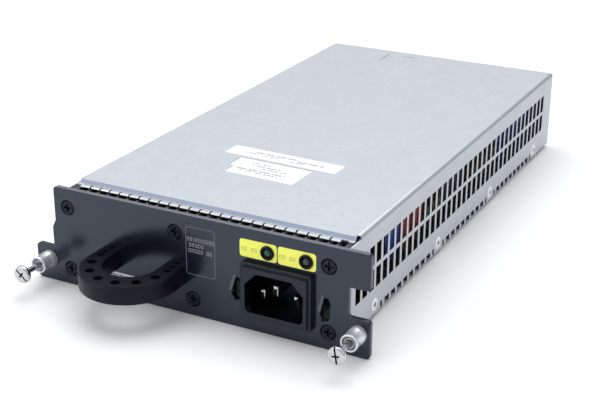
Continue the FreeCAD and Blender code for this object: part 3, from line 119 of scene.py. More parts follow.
class Graph:
    """A thin wrapper that builds a material's node tree one named step at a time."""

    def __init__(self, name: str) -> None:
        """Start an empty material with an output and a principled shader.

        Args:
            name: The material's name.
        """
        self.material = bpy.data.materials.new(name)
        self.material.use_nodes = True
        self.tree = self.material.node_tree
        self.tree.nodes.clear()
        output = self.tree.nodes.new("ShaderNodeOutputMaterial")
        self.shader = self.tree.nodes.new("ShaderNodeBsdfPrincipled")
        self.tree.links.new(self.shader.outputs["BSDF"], output.inputs["Surface"])
        self.coordinates = self.tree.nodes.new("ShaderNodeTexCoord").outputs["Object"]

    def node(self, kind: str, **inputs: Value) -> bpy.types.Node:
        """Add a node and set or link its inputs by name.

        Args:
            kind: The node's type.
            **inputs: Socket names, with underscores for spaces, and a value or a socket each.

        Returns:
            The new node.
        """
        made = self.tree.nodes.new(kind)
        for name, value in inputs.items():
            self.feed(made.inputs[name.replace("_", " ")], value)
        return made

    def feed(self, socket: Socket, value: Value) -> None:
        """Link a socket to a node's output, or set its value.

        Args:
            socket: The input to fill.
            value: An output socket, a number or a colour.
        """
        if isinstance(value, bpy.types.NodeSocket):
            self.tree.links.new(value, socket)
        else:
            socket.default_value = value

    def stretched(self, stretch: Sequence[float]) -> Socket:
        """Return the piece's own coordinates, scaled on each axis."""
        return self.node(
            "ShaderNodeMapping", Vector=self.coordinates, Scale=stretch
        ).outputs["Vector"]

    def noise(
        self, scale: float, detail: float, rough: float = 0.5, stretch: Sequence[float] = EVEN
    ) -> Socket:
        """Add a noise pattern.

        Args:
            scale: Features per metre.
            detail: Number of octaves.
            rough: How strongly the finer octaves show.
            stretch: Scale of the pattern on each axis.

        Returns:
            The pattern's factor socket.
        """
        vector = self.stretched(stretch)
        made = self.node(
            "ShaderNodeTexNoise", Vector=vector, Scale=scale, Detail=detail, Roughness=rough
        )
        return made.outputs["Fac"]

    def cells(self, scale: float, output: str, stretch: Sequence[float] = EVEN) -> Socket:
        """Add a cell pattern and return one of its sockets."""
        vector = self.stretched(stretch)
        return self.node("ShaderNodeTexVoronoi", Vector=vector, Scale=scale).outputs[output]

    def spread(
        self, value: Socket, low: float, high: float, start: float = 0.0, end: float = 1.0
    ) -> Socket:
        """Map a factor to a range.

        Args:
            value: The factor socket.
            low: The result at the factor's lower end.
            high: The result at the factor's upper end.
            start: The factor's lower end.
            end: The factor's upper end.

        Returns:
            The mapped value's socket.
        """
        made = self.node("ShaderNodeMapRange", Value=value)
        for name, number in zip(RANGE_ENDS, (start, end, low, high)):
            made.inputs[name].default_value = number
        return made.outputs["Result"]

    def blend(self, factor: Socket, first: Value, second: Value) -> Socket:
        """Mix two colours.

        Args:
            factor: The share of the second colour.
            first: A colour or a colour socket.
            second: A colour or a colour socket.

        Returns:
            The mixed colour's socket.
        """
        made = self.tree.nodes.new("ShaderNodeMix")
        made.data_type = "RGBA"
        self.feed(made.inputs[0], factor)
        self.feed(made.inputs[6], first)
        self.feed(made.inputs[7], second)
        return made.outputs[2]

    def reckon(self, operation: str, first: Value, second: Value) -> Socket:
        """Work one number out of two.

        Args:
            operation: The kind of sum.
            first: A number or a factor's socket.
            second: A number or a factor's socket.

        Returns:
            The result's socket.
        """
        made = self.tree.nodes.new("ShaderNodeMath")
        made.operation = operation
        self.feed(made.inputs[0], first)
        self.feed(made.inputs[1], second)
        return made.outputs[0]

    def beyond(self, axis: str, limit: float, above: bool = True) -> Socket:
        """Return 1 above, or below, a limit in metres on an axis and 0 elsewhere."""
        split = self.node("ShaderNodeSeparateXYZ", Vector=self.coordinates)
        return self.reckon("GREATER_THAN" if above else "LESS_THAN", split.outputs[axis], limit)

    def both(self, first: Socket, second: Socket) -> Socket:
        """Return the product of two factors."""
        return self.reckon("MULTIPLY", first, second)

    def bump(self, height: Socket, strength: float, distance: float) -> None:
        """Give the shader a bump of a depth in metres from a height socket."""
        made = self.node("ShaderNodeBump", Height=height, Strength=strength, Distance=distance)
        self.tree.links.new(made.outputs["Normal"], self.shader.inputs["Normal"])

    def set(self, **inputs: Value) -> None:
        """Set or link the shader's inputs by name, with underscores for spaces."""
        for name, value in inputs.items():
            self.feed(self.shader.inputs[name.replace("_", " ")], value)


def shade(colour: Colour, share: float = 1.0) -> Four:
    """Return a colour with full alpha, made darker or lighter by a share."""
    return (*(min(1.0, c * share) for c in colour), 1.0)


@dataclass(frozen=True)
class Finish:
    """A procedural finish, which each kind below paints in its own way.

    Attributes:
        name: The finish's name, from which its material's name is made.
        colour: Its linear base colour.
        rough: Its mean roughness.
    """

    name: str
    colour: Colour
    rough: float = 0.5

    def material(self) -> bpy.types.Material:
        """Return the material, built the first time it is asked for."""
        known = bpy.data.materials.get(f"{self.name}_look")
        if known is not None:
            return known
        graph = Graph(f"{self.name}_look")
        self.paint(graph)
        return graph.material

    def paint(self, graph: Graph) -> None:
        """Fill the graph."""
        raise NotImplementedError(type(self).__name__)

    def mottle(
        self, graph: Graph, pattern: Socket, tones: Sequence[float], rough: Sequence[float]
    ) -> None:
        """Let a pattern vary the colour and the roughness.

        Args:
            graph: The material's graph.
            pattern: The pattern's factor.
            tones: Shares of the colour at the pattern's lower and upper end.
            rough: What is added to the roughness at either end.
        """
        dark, light = (shade(self.colour, share) for share in tones)
        less, more = (self.rough + step for step in rough)
        graph.set(
            Base_Color=graph.blend(pattern, dark, light),
            Roughness=graph.spread(pattern, less, more),
        )


@dataclass(frozen=True)
class Paint(Finish):
    """Baked paint on sheet metal, with a fine orange peel.

    Attributes:
        gloss: How strongly it mirrors its surroundings.
        tint: The colour of its mirror image.
        highlight_above: Height in metres above which a top-edge highlight is painted, or 0 for
            none.
        edge: The painted highlight's colour.
    """

    gloss: float = 0.55
    tint: Colour = (1.0, 1.0, 1.0)
    highlight_above: float = 0.0
    edge: Colour = (0.125, 0.125, 0.16)

    def paint(self, graph: Graph) -> None:
        """Fill the graph.

        Args:
            graph: The material's graph.
        """
        broad = graph.noise(30.0, 2.0)
        tone = graph.blend(broad, shade(self.colour, 0.93), shade(self.colour, 1.07))
        # Painted highlight: a lighter colour along the top edge.
        if self.highlight_above:
            tone = graph.blend(graph.beyond("Z", self.highlight_above), tone, shade(self.edge))
        graph.set(
            Base_Color=tone,
            Roughness=graph.spread(broad, self.rough - 0.03, self.rough + 0.04),
            Specular_IOR_Level=self.gloss,
            Specular_Tint=shade(self.tint),
        )
        graph.bump(graph.noise(2600.0, 2.0), 0.12, 0.00006)


@dataclass(frozen=True)
class Galvanised(Finish):
    """Zinc-coated sheet with a faint spangle and rolling streaks.

    Attributes:
        contrast: How far the grains differ in tone.
        nose: Depth in metres in front of which shade and reflection are painted on the top's bent
            nose, or 0.
        nose_shade: The colour of that painted shade and reflection.
        bends: Places in metres on X beyond which shade is painted on the side bends.
        bend_shade: The colour of that painted shade.
        bent_above: Height in metres above which the nose and bends get it.
        skins: Places in metres on X just under the left and right outer skin.
        cut_depth: How deep in metres under the skins shade is painted on the sheared faces.
        cut_below: Height in metres below which it is painted.
        cut_until: Depth in metres in front of which it is painted, short of the rear wall.
        cut_shade: The sheared faces' colour: painted shade, partly the darker bare cut steel.
    """

    contrast: float = 0.05
    nose: float = 0.0
    nose_shade: Colour = (0.30, 0.34, 0.43)
    bends: Pair = (-0.06305, 0.06165)
    bend_shade: Colour = (0.42, 0.45, 0.50)
    bent_above: float = 0.0384
    skins: Pair = (-0.06390, 0.06253)
    cut_depth: float = 0.0012
    cut_below: float = 0.0372
    cut_until: float = 0.1345
    cut_shade: Colour = (0.07, 0.075, 0.085)

    def paint(self, graph: Graph) -> None:
        """Fill the graph.

        Args:
            graph: The material's graph.
        """
        grains = graph.cells(210.0, "Color", (1.0, 0.7, 1.0))
        split = graph.node("ShaderNodeSeparateColor", Color=grains).outputs[0]
        cloud = graph.noise(420.0, 5.0, 0.6)
        streak = graph.noise(60.0, 3.0, 0.5, (14.0, 1.0, 1.0))
        grit = graph.noise(1500.0, 2.0, 0.6)
        tone = graph.blend(
            split, shade(self.colour, 1.0 - self.contrast), shade(self.colour, 1.0 + self.contrast)
        )
        tone = graph.blend(
            graph.spread(cloud, 0.0, 0.5, 0.35, 0.75), tone, shade(self.colour, 0.93)
        )
        tone = graph.blend(
            graph.spread(grit, 0.0, 0.6, 0.38, 0.68), tone, shade(self.colour, 0.88)
        )
        # Painted shade and reflection: darker tones on the nose, the bends and the sheared faces.
        if self.nose:
            for mask, dark in self.darker(graph):
                tone = graph.blend(mask, tone, shade(dark))
        graph.set(
            Base_Color=tone,
            Metallic=0.78,
            Roughness=graph.spread(streak, self.rough - 0.06, self.rough + 0.08),
        )
        graph.bump(cloud, 0.08, 0.00005)

    def darker(self, graph: Graph) -> Iterator[tuple[Socket, Colour]]:
        """Find the places where shade and reflection are painted.

        Args:
            graph: The material's graph.

        Yields:
            The mask and the tone of each place.
        """
        high = graph.beyond("Z", self.bent_above)
        yield graph.both(graph.beyond("Y", self.nose, above=False), high), self.nose_shade
        for bend, above in zip(self.bends, (False, True)):
            yield graph.both(graph.beyond("X", bend, above), high), self.bend_shade
        walls = graph.both(
            graph.beyond("Z", self.cut_below, above=False),
            graph.beyond("Y", self.cut_until, above=False),
        )
        for skin, inwards in zip(self.skins, (1.0, -1.0)):
            under = graph.both(
                graph.beyond("X", skin, above=inwards > 0.0),
                graph.beyond("X", skin + inwards * self.cut_depth, above=inwards < 0.0),
            )
            yield graph.both(under, walls), self.cut_shade


@dataclass(frozen=True)
class Bright(Finish):
    """Polished or plated metal with light turning marks.

    Attributes:
        metal: How metallic its plating looks.
    """

    metal: float = 1.0

    def paint(self, graph: Graph) -> None:
        """Fill the graph."""
        marks = graph.noise(900.0, 3.0, 0.5, (1.0, 6.0, 1.0))
        self.mottle(graph, marks, (0.92, 1.05), (-0.04, 0.06))
        graph.set(Metallic=self.metal)


@dataclass(frozen=True)
class Moulding(Finish):
    """Moulded plastic with a fine texture.

    Attributes:
        texture: Depth of the moulded texture, as a bump strength.
        gloss: How strongly it mirrors its surroundings.
        tint: The colour of its mirror image.
    """

    texture: float = 0.2
    gloss: float = 0.5
    tint: Colour = (1.0, 1.0, 1.0)

    def paint(self, graph: Graph) -> None:
        """Fill the graph.

        Args:
            graph: The material's graph.
        """
        broad = graph.noise(120.0, 2.0)
        self.mottle(graph, broad, (0.85, 1.2), (-0.05, 0.05))
        graph.set(Specular_IOR_Level=self.gloss, Specular_Tint=shade(self.tint))
        graph.bump(graph.noise(3800.0, 2.0), self.texture, 0.00008)


@dataclass(frozen=True)
class Lens(Finish):
    """A clear or tinted lamp lens whose tone wanders a little.

    Attributes:
        glint_glow: Strength of the light it gives off, a painted glint rather than a lit lamp.
    """

    glint_glow: float = 0.0

    def paint(self, graph: Graph) -> None:
        """Fill the graph.

        Args:
            graph: The material's graph.
        """
        cloud = graph.noise(1400.0, 2.0)
        tint = graph.blend(cloud, shade(self.colour, 0.6), shade(self.colour, 1.4))
        graph.set(
            Base_Color=tint,
            Roughness=graph.spread(cloud, 0.12, 0.2),
            Transmission_Weight=0.25,
            # The emission is a painted glint.
            Emission_Color=tint,
            Emission_Strength=self.glint_glow,
        )


@dataclass(frozen=True)
class Laminate(Finish):
    """A lacquered circuit board with a faint maze of tracks."""

    def paint(self, graph: Graph) -> None:
        """Fill the graph.

        Args:
            graph: The material's graph.
        """
        tracks = graph.cells(330.0, "Distance")
        lines = graph.spread(tracks, 0.0, 1.0, 0.42, 0.5)
        graph.set(
            Base_Color=graph.blend(lines, shade(self.colour), shade(self.colour, 2.1)),
            Roughness=graph.spread(tracks, 0.3, 0.45),
        )


@dataclass(frozen=True)
class Paper(Finish):
    """Printed film or paper with a faint fibre."""

    def paint(self, graph: Graph) -> None:
        """Fill the graph."""
        self.mottle(graph, graph.noise(1600.0, 4.0, 0.6), (0.96, 1.03), (-0.05, 0.08))


LOOKS: tuple[Finish, ...] = (
    # The panel's last number is the height above which its top edge gets a painted highlight.
    Paint("panel_paint", (0.0040, 0.0058, 0.0135), 0.19, 0.75, (0.74, 0.84, 1.0), 0.04162),
    # The last number paints shade and reflection on the top's nose, its bends and the sheared
    # faces.
    Galvanised("galvanised", (0.585, 0.61, 0.645), 0.52, 0.03, -0.10055),
    # Painted shade: the bulkhead and the shelf bars are made dark to stand for the shadowed gap
    # behind the panel.
    Galvanised("shaded_zinc", (0.085, 0.09, 0.105)),
    Bright("spring_steel", (0.86, 0.86, 0.87), 0.22),
    Paint("black_screw", (0.003, 0.0036, 0.007), 0.36, 0.36, (0.72, 0.82, 1.0)),
    Bright("nickel", (0.57, 0.585, 0.60), 0.18),
    Bright("ferrule_zinc", (0.74, 0.75, 0.80), 0.27, 0.55),
    Bright("zinc", (0.78, 0.79, 0.80), 0.28),
    Bright("screw_zinc", (0.96, 0.97, 0.98), 0.40, 0.30),
    # Painted shade: the collars are nearly black to stand for the shadow inside the ferrules'
    # mouths.
    Bright("shaded_collar", (0.030, 0.027, 0.022), 0.4),
    Moulding("black_moulding", (0.0030, 0.0035, 0.0065), 0.40, 0.30, 0.20, (0.80, 0.88, 1.0)),
    Moulding("inlet_black", (0.0025, 0.0028, 0.0045), 0.26, 0.06, 0.50, (0.72, 0.82, 1.0)),
    # The green lens's faint glow is a painted glint.
    Lens("lamp_green", (0.006, 0.085, 0.050), glint_glow=0.12),
    Lens("lamp_clear", (0.050, 0.055, 0.065)),
    Paper("label_lime", (0.99, 0.99, 0.155)),
    Paper("label_white", (0.84, 0.85, 0.86)),
    Laminate("board_green", (0.006, 0.022, 0.013)),
    Moulding("insulator", (0.03, 0.03, 0.03), 0.4, 0.1),
    Moulding("capacitor_blue", (0.008, 0.085, 0.50), 0.35, 0.05),
    Moulding("capacitor_red", (0.42, 0.030, 0.025), 0.35, 0.05),
    Moulding("capacitor_yellow", (0.10, 0.08, 0.03), 0.4, 0.05),
    Moulding("deep_shade", (0.0015, 0.0015, 0.0022), 0.65, 0.0, 0.04),
    Moulding("relay_black", (0.020, 0.020, 0.024), 0.45, 0.1),
    Moulding("sleeve_dark_blue", (0.012, 0.050, 0.30), 0.32, 0.05),
    Bright("copper_winding", (0.13, 0.055, 0.03), 0.35),
    Moulding("ferrite", (0.035, 0.035, 0.04), 0.6, 0.3),
    Paper("tape_yellow", (0.22, 0.17, 0.03), 0.4),
    Bright("sink_aluminium", (0.52, 0.54, 0.56), 0.45),
    Moulding("chip_black", (0.012, 0.012, 0.014), 0.45, 0.1),
    Bright("copper_bar", (0.70, 0.38, 0.22), 0.3),
    Bright("contact_metal", (0.42, 0.42, 0.41), 0.20),
    Paper("fuse_ceramic", (0.70, 0.68, 0.60)),
    Moulding("wire_blue", (0.02, 0.08, 0.36), 0.4, 0.05),
    Moulding("wire_brown", (0.16, 0.06, 0.03), 0.4, 0.05),
    Moulding("wire_earth", (0.18, 0.40, 0.05), 0.4, 0.05),
    Moulding("edge_parts", (0.050, 0.036, 0.026), 0.45, 0.05),
    Paper("print_black", (0.02, 0.02, 0.02)),
    Paper("print_grey", (0.24, 0.25, 0.27)),
    Paper("label_edge_dark", (0.16, 0.17, 0.19)),
    Paper("print_dim", (0.30, 0.31, 0.36)),
    Paper("print_frame", (0.125, 0.135, 0.175)),
    Paper("print_olive", (0.40, 0.44, 0.06)),
)

FINISHES: dict[str, Finish] = {look.name: look for look in LOOKS}


# ------------------------------------------------------------------ meshes


def linked(name: str, data: bpy.types.ID) -> bpy.types.Object:
    """Make an object with its mesh, light or camera and put it into the scene."""
    made = bpy.data.objects.new(name, data)
    bpy.context.scene.collection.objects.link(made)
    return made


class Piece:
    """A mesh piece that is put together with bmesh operators in the row frame."""

    def __init__(self, name: str) -> None:
        """Start an empty piece.

        Args:
            name: The object's name.
        """
        self.name = name
        self.mesh = bmesh.new()

    def slab(self, middle: Vector, size: Sequence[float], tilt: float = 0.0) -> None:
        """Add a box, level or tilted about the X axis.

        Args:
            middle: Its middle in metres.
            size: Its width, length and thickness in metres.
            tilt: Its rise towards +Y in degrees.
        """
        place = (
            Matrix.Translation(middle)
            @ Matrix.Rotation(math.radians(tilt), 4, "X")
            @ Matrix.Diagonal((*size, 1.0))
        )
        bmesh.ops.create_cube(self.mesh, size=1.0, matrix=place)

    def block(self, low: Vector, high: Vector) -> None:
        """Add a box between two corners, given in metres."""
        self.slab((low + high) / 2, high - low)

    def wind(
        self, place: Matrix, radius: float, wire: float, turns: float = 1.0, rise: float = 0.0
    ) -> None:
        """Sweep round wire about the local Z of a place.

        Args:
            place: The first turn's middle.
            radius: The turns' mean radius.
            wire: The wire's radius.
            turns: The number of turns.
            rise: The length between the first and last wire centres, or 0 for a closed ring.
        """
        sides, per_turn = COIL_STEPS if rise else RING_STEPS
        steps = int(turns * per_turn)
        section = bmesh.ops.create_circle(
            self.mesh,
            cap_ends=False,
            segments=sides,
            radius=wire,
            matrix=place @ Matrix.Translation((radius, 0, 0)) @ UPRIGHT,
        )["verts"]
        way = (place.to_3x3() @ Vector((0, 0, 1))).normalized()
        bmesh.ops.spin(
            self.mesh,
            geom=list(section) + list({e for v in section for e in v.link_edges}),
            cent=place.translation,
            axis=way,
            dvec=way * rise / steps,
            angle=turns * 2 * math.pi,
            steps=steps,
            use_merge=not rise,
            use_duplicate=False,
        )
        if rise:
            bmesh.ops.holes_fill(self.mesh, edges=[e for e in self.mesh.edges if e.is_boundary])

    def finish(
        self, finish: str, body: str = HOUSING, smooth: float = 35.0, slot: bool = True
    ) -> bpy.types.Object:
        """Turn the piece into an object that rides on a body.

        Args:
            finish: The finish's name.
            body: The CAD body that it moves with.
            smooth: The angle in degrees above which an edge stays sharp.
            slot: Not used.

        Returns:
            The finished object.
        """
        bmesh.ops.remove_doubles(self.mesh, verts=self.mesh.verts, dist=SAME_PLACE)
        bmesh.ops.recalc_face_normals(self.mesh, faces=self.mesh.faces)
        data = bpy.data.meshes.new(self.name)
        self.mesh.to_mesh(data)
        self.mesh.free()
        data.shade_smooth()
        data.set_sharp_from_angle(angle=math.radians(smooth))
        for face in data.polygons:
            if face.area > FLAT_AREA:
                face.use_smooth = False
        data.materials.append(FINISHES[finish].material())
        made = linked(self.name, data)
        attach(made, body)
        return made

    def trim(self, finish: str, body: str = HOUSING) -> None:
        """Finish a print or a shade, keeping edges sharp above the print angle."""
        self.finish(finish, body, PRINT_SHARP, slot=False)


@dataclass(frozen=True)
class Dressed:
    """A CAD node that is shown with softened edges and its finish.

    Attributes:
        node: The CAD node's name.
        finish: The finish's name.
        edge: Width of the softened edges in millimetres, or 0 for sharp ones.
        smooth: The angle in degrees above which an edge stays sharp.
    """

    node: str
    finish: str
    edge: float = 0.0
    smooth: float = 32.0

    def build(self) -> None:
        """Soften a copy of the node's mesh and show it in the node's place."""
        source = frame["nodes"][self.node]
        piece = Piece(f"{self.node}_shown")
        mesh = piece.mesh
        mesh.from_mesh(source.data)
        bmesh.ops.remove_doubles(mesh, verts=mesh.verts, dist=LOOSE_FACES)
        bmesh.ops.dissolve_limit(mesh, angle_limit=LEVEL_ANGLE, verts=mesh.verts, edges=mesh.edges)
        if self.edge:
            corners = [
                e
                for e in mesh.edges
                if len(e.link_faces) == 2 and e.calc_face_angle(0.0) > CORNER_ANGLE
            ]
            bmesh.ops.bevel(
                mesh,
                geom=corners,
                offset=self.edge * MM,
                segments=2,
                profile=0.5,
                affect="EDGES",
                material=-1,
                clamp_overlap=True,
            )
        made = piece.finish(self.finish, source["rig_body"], self.smooth)
        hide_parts(self.node)
        log.info("%s: dressed in %s", self.node, self.finish)


class Facing(Enum):
    """The way a print or label looks, as a turn about an axis."""

    FRONT = (90.0, "X")
    TOP = (0.0, "X")
    RIGHT = (90.0, "Y")
    LEFT = (-90.0, "Y")

    def matrix(self) -> Matrix:
        """Return the turn that takes +Z to this side."""
        angle, axis = self.value
        return Matrix.Rotation(math.radians(angle), 4, axis)


@dataclass(frozen=True)
class Plate:
    """A thin rounded plate or frame that lies on a flat face.

    Attributes:
        middle: Its middle in millimetres from the panel's middle.
        width: Its width in millimetres.
        height: Its height in millimetres.
        facing: The side that it looks to.
        corner: Radius of its corners in millimetres.
        line: Width of its outline in millimetres, or 0 for a full plate.
        turn: Its turn in degrees about its own middle.
    """

    middle: Place
    width: float
    height: float
    facing: Facing = Facing.FRONT
    corner: float = 0.0
    line: float = 0.0
    turn: float = 0.0

    def moved(self, x: float, width: float) -> "Plate":
        """Return a copy with another place on X and another width."""
        return replace(self, middle=(x, *self.middle[1:]), width=width)

    def outline(self, mesh: bmesh.types.BMesh) -> list[bmesh.types.BMFace]:
        """Add the plate's flat outline at the origin.

        Args:
            mesh: The mesh that takes it.

        Returns:
            Its faces.
        """
        verts = bmesh.ops.create_grid(mesh, x_segments=1, y_segments=1, size=0.5)["verts"]
        bmesh.ops.scale(mesh, vec=(self.width * MM, self.height * MM, 1.0), verts=verts)
        faces = {f for v in verts for f in v.link_faces}
        if self.corner:
            made = bmesh.ops.bevel(
                mesh,
                geom=verts,
                offset=self.corner * MM,
                segments=6,
                profile=0.5,
                affect="VERTICES",
                material=-1,
            )
            faces = set(made["faces"]) | {f for v in made["verts"] for f in v.link_faces}
        full = [f for f in faces if f.is_valid]
        if not self.line:
            return full
        ring = bmesh.ops.inset_region(
            mesh,
            faces=full,
            thickness=self.line * MM,
            use_boundary=True,
            use_even_offset=True,
        )["faces"]
        bmesh.ops.delete(mesh, geom=full, context="FACES_ONLY")
        return [f for f in ring if f.is_valid]

    def add_to(self, piece: Piece) -> None:
        """Add this plate to a piece.

        Args:
            piece: The piece that takes it.
        """
        mesh = piece.mesh
        others = set(mesh.verts)
        swept = bmesh.ops.extrude_face_region(mesh, geom=self.outline(mesh))["geom"]
        top = [g for g in swept if isinstance(g, bmesh.types.BMVert)]
        bmesh.ops.translate(mesh, vec=(0.0, 0.0, PRINT_LIFT * MM), verts=top)
        place = (
            Matrix.Translation(at(*self.middle))
            @ self.facing.matrix()
            @ Matrix.Rotation(math.radians(self.turn), 4, "Z")
        )
        own = [v for v in mesh.verts if v not in others]
        bmesh.ops.transform(mesh, matrix=place, verts=own)


def disc(
    middle: Place, across: float, facing: Facing = Facing.FRONT, line: float = 0.0
) -> Plate:
    """Return a round plate of a diameter, or a ring where it has a line width."""
    return Plate(middle, across, across, facing, across / 2 - CORNER_SLACK, line)


def printed(name: str, plates: Iterable[Plate], finish: str, body: str = HOUSING) -> None:
    """Make one printed piece from several plates.

    Args:
        name: The piece's name.
        plates: The plates that it consists of.
        finish: The print's finish.
        body: The CAD body that it moves with.
    """
    piece = Piece(name)
    for plate in plates:
        plate.add_to(piece)
    piece.trim(finish, body)
    log.info("%s: printed", name)


def strokes(
    start: float, end: float, widths: Sequence[float], gaps: Sequence[float], step: int = 0
) -> Iterator[Pair]:
    """Lay strokes one after another.

    Args:
        start: Where the first one begins.
        end: Where no further one begins.
        widths: Widths, used in turn.
        gaps: Gaps after the strokes, used in turn.
        step: The first stroke's number in both.

    Yields:
        Each stroke's middle and width.
    """
    while start < end:
        width = widths[step % len(widths)]
        yield start + width / 2, width
        start += width + gaps[step % len(gaps)]
        step += 1


# ------------------------------------------------------------------ sub-assemblies


@dataclass(frozen=True)
class SubAssembly:
    """Nodes that are dressed together, to which some kinds below add details.

    Attributes:
        parts: The nodes and the way each is dressed.
    """

    parts: tuple[Dressed, ...] = ()

    def build(self) -> None:
        """Dress the nodes and add the details."""
        for part in self.parts:
            part.build()
        self.detail()

    def detail(self) -> None:
        """Add what the nodes leave out, which is nothing for a plain group."""


@dataclass(frozen=True)
class FingerBand(SubAssembly):
    """Painted shade in the slits between the contact fingers, and the slim bars below them.

    Attributes:
        left: The strip's left end in millimetres.
        pitch: The fingers' pitch in millimetres.
        count: The number of slits.
        slit: Width and depth in millimetres of the painted shade in a slit.
        arch: Middle depth, middle height, length and tilt of each flat of the arch.
        bar: Half the width and the height of a bar in millimetres.
        bar_ends: The bars' front and rear end in millimetres.
        shelf: The shelf's top in millimetres.
    """

    left: float = -64.9
    pitch: float = 4.68
    count: int = 24
    slit: Pair = (0.6, 0.08)
    arch: tuple[Four, ...] = (
        (11.79, 38.21, 0.22, 90.0),
        (12.0, 38.475, 0.54, 41.0),
        (12.6, 38.695, 0.83, 7.0),
        (13.5, 38.67, 1.02, -8.5),
    )
    bar: Pair = (0.5, 1.0)
    bar_ends: Pair = (3.4, 15.0)
    shelf: float = 37.68

    def detail(self) -> None:
        """Shade the slits and lay a bar under every second one."""
        # Dark strips along the arch are painted shade in the slits.
        slits = Piece("finger_slit_shades")
        bars = Piece("shelf_bars")
        width, deep = self.slit
        half, tall = self.bar
        front, rear = self.bar_ends
        for number in range(1, self.count + 1):
            x = self.left + number * self.pitch
            for depth, height, length, tilt in self.arch:
                slits.slab(at(x, depth, height), (width * MM, length * MM, deep * MM), tilt)
            if number % 2 == 0:
                bars.block(at(x - half, front, self.shelf - tall), at(x + half, rear, self.shelf))
        slits.trim("deep_shade")
        bars.trim("shaded_zinc")


@dataclass(frozen=True)
class SideDetails(SubAssembly):
    """Dimples round the side screws, painted shade in their recesses, the notches' painted shades
    and dark sheets of painted shade.

    Attributes:
        faces: Way outwards, the cover's outer face and the tray's flange on each side.
        screws: The side screws' depths.
        screw_height: Their height.
        dimple: Diameter and line width of a dimple.
        recess: Diameter of the painted shade in a recess and its place outside the cover.
        groups: The depth of the first notch in each group.
        steps: The number of wide notches in a group.
        pitch: Their pitch.
        wide: Their length.
        narrow: Length of a narrow notch.
        end_step: Distance of the narrow notches from the outer wide ones.
        notch: Middle height, height and place outside the flange of the notches' shades.
        film: The lowest and highest corner of each dark sheet, in the look of insulating film,
            that stands for the shade seen through the openings.
    """

    faces: tuple[tuple[float, float, float, Facing], ...] = (
        (1.0, 57.56, 56.91, Facing.RIGHT),
        (-1.0, -68.93, -68.28, Facing.LEFT),
    )
    screws: tuple[float, ...] = (31.0, 96.5, 162.0, 227.5)
    screw_height: float = 5.6
    dimple: Pair = (5.5, 0.45)
    recess: Pair = (2.4, 0.21)
    groups: tuple[float, ...] = (42.7, 108.2, 173.7)
    steps: int = 8
    pitch: float = 6.165
    wide: float = 4.2
    narrow: float = 1.7
    end_step: float = 5.4
    notch: Place = (3.55, 1.8, 0.005)
    film: tuple[tuple[Place, Place], ...] = (
        ((-68.3, 22.6, 10.4), (-68.12, 62.0, 36.5)),
        ((36.5, 58.42, 9.7), (49.5, 58.49, 29.6)),
    )

    def spots(self) -> list[Pair]:
        """Return the depth and length of every notch on one side."""
        made = []
        for start in self.groups:
            last = start + (self.steps - 1) * self.pitch
            made += [(start + step * self.pitch, self.wide) for step in range(self.steps)]
            made += [(start - self.end_step, self.narrow), (last + self.end_step, self.narrow)]
        return made

    def detail(self) -> None:
        """Dress both sides and hang the dark sheets of painted shade."""
        dimples = []
        recesses = []
        notches = []
        across, line = self.dimple
        inner, lift = self.recess
        height, tall, outside = self.notch
        for way, outer, flange, facing in self.faces:
            for y in self.screws:
                dimples.append(disc((outer, y, self.screw_height), across, facing, line))
                recesses.append(disc((outer + lift * way, y, self.screw_height), inner, facing))
            for y, length in self.spots():
                notches.append(Plate((flange + outside * way, y, height), tall, length, facing))
        printed("side_dimples", dimples, "screw_zinc")
        # Painted shade: dark discs in the screw recesses.
        printed("side_recess_shades", recesses, "deep_shade")
        printed("notch_shades", notches, "deep_shade")
        # Painted shade: dark sheets, in the look of insulating film, seen through the openings.
        film = Piece("shade_sheets")
        for low, high in self.film:
            film.block(at(*low), at(*high))
        film.trim("insulator")


@dataclass(frozen=True)
class Script:
    """Rows of short strokes that stand for print on the cover.

    Attributes:
        corner: The label's near left corner in millimetres from the panel's middle.
        rows: Start, end, distance from the near edge and stroke height of each row.
        turn: The label's turn in degrees.
        widths: The strokes' widths in millimetres, used in turn.
        gaps: The gaps after them in millimetres, used in turn.
    """

    corner: Place
    rows: tuple[Four, ...]
    turn: float = -1.8
    widths: tuple[float, ...] = (0.7, 0.45, 0.9, 0.55, 0.35, 0.8, 0.5)
    gaps: tuple[float, ...] = (0.35, 0.3, 0.4, 1.1, 0.3)

    def plates(self) -> list[Plate]:
        """Return the strokes of all rows."""
        made = []
        left, front, top = self.corner
        level, slope = math.cos(math.radians(self.turn)), math.sin(math.radians(self.turn))
        for number, (start, end, away, height) in enumerate(self.rows):
            for right, width in strokes(start, end, self.widths, self.gaps, number * 3):
                x = right * level - away * slope
                y = right * slope + away * level
                middle = (left + x, front + y, top)
                made.append(Plate(middle, width, height, Facing.TOP, turn=self.turn))
        return made


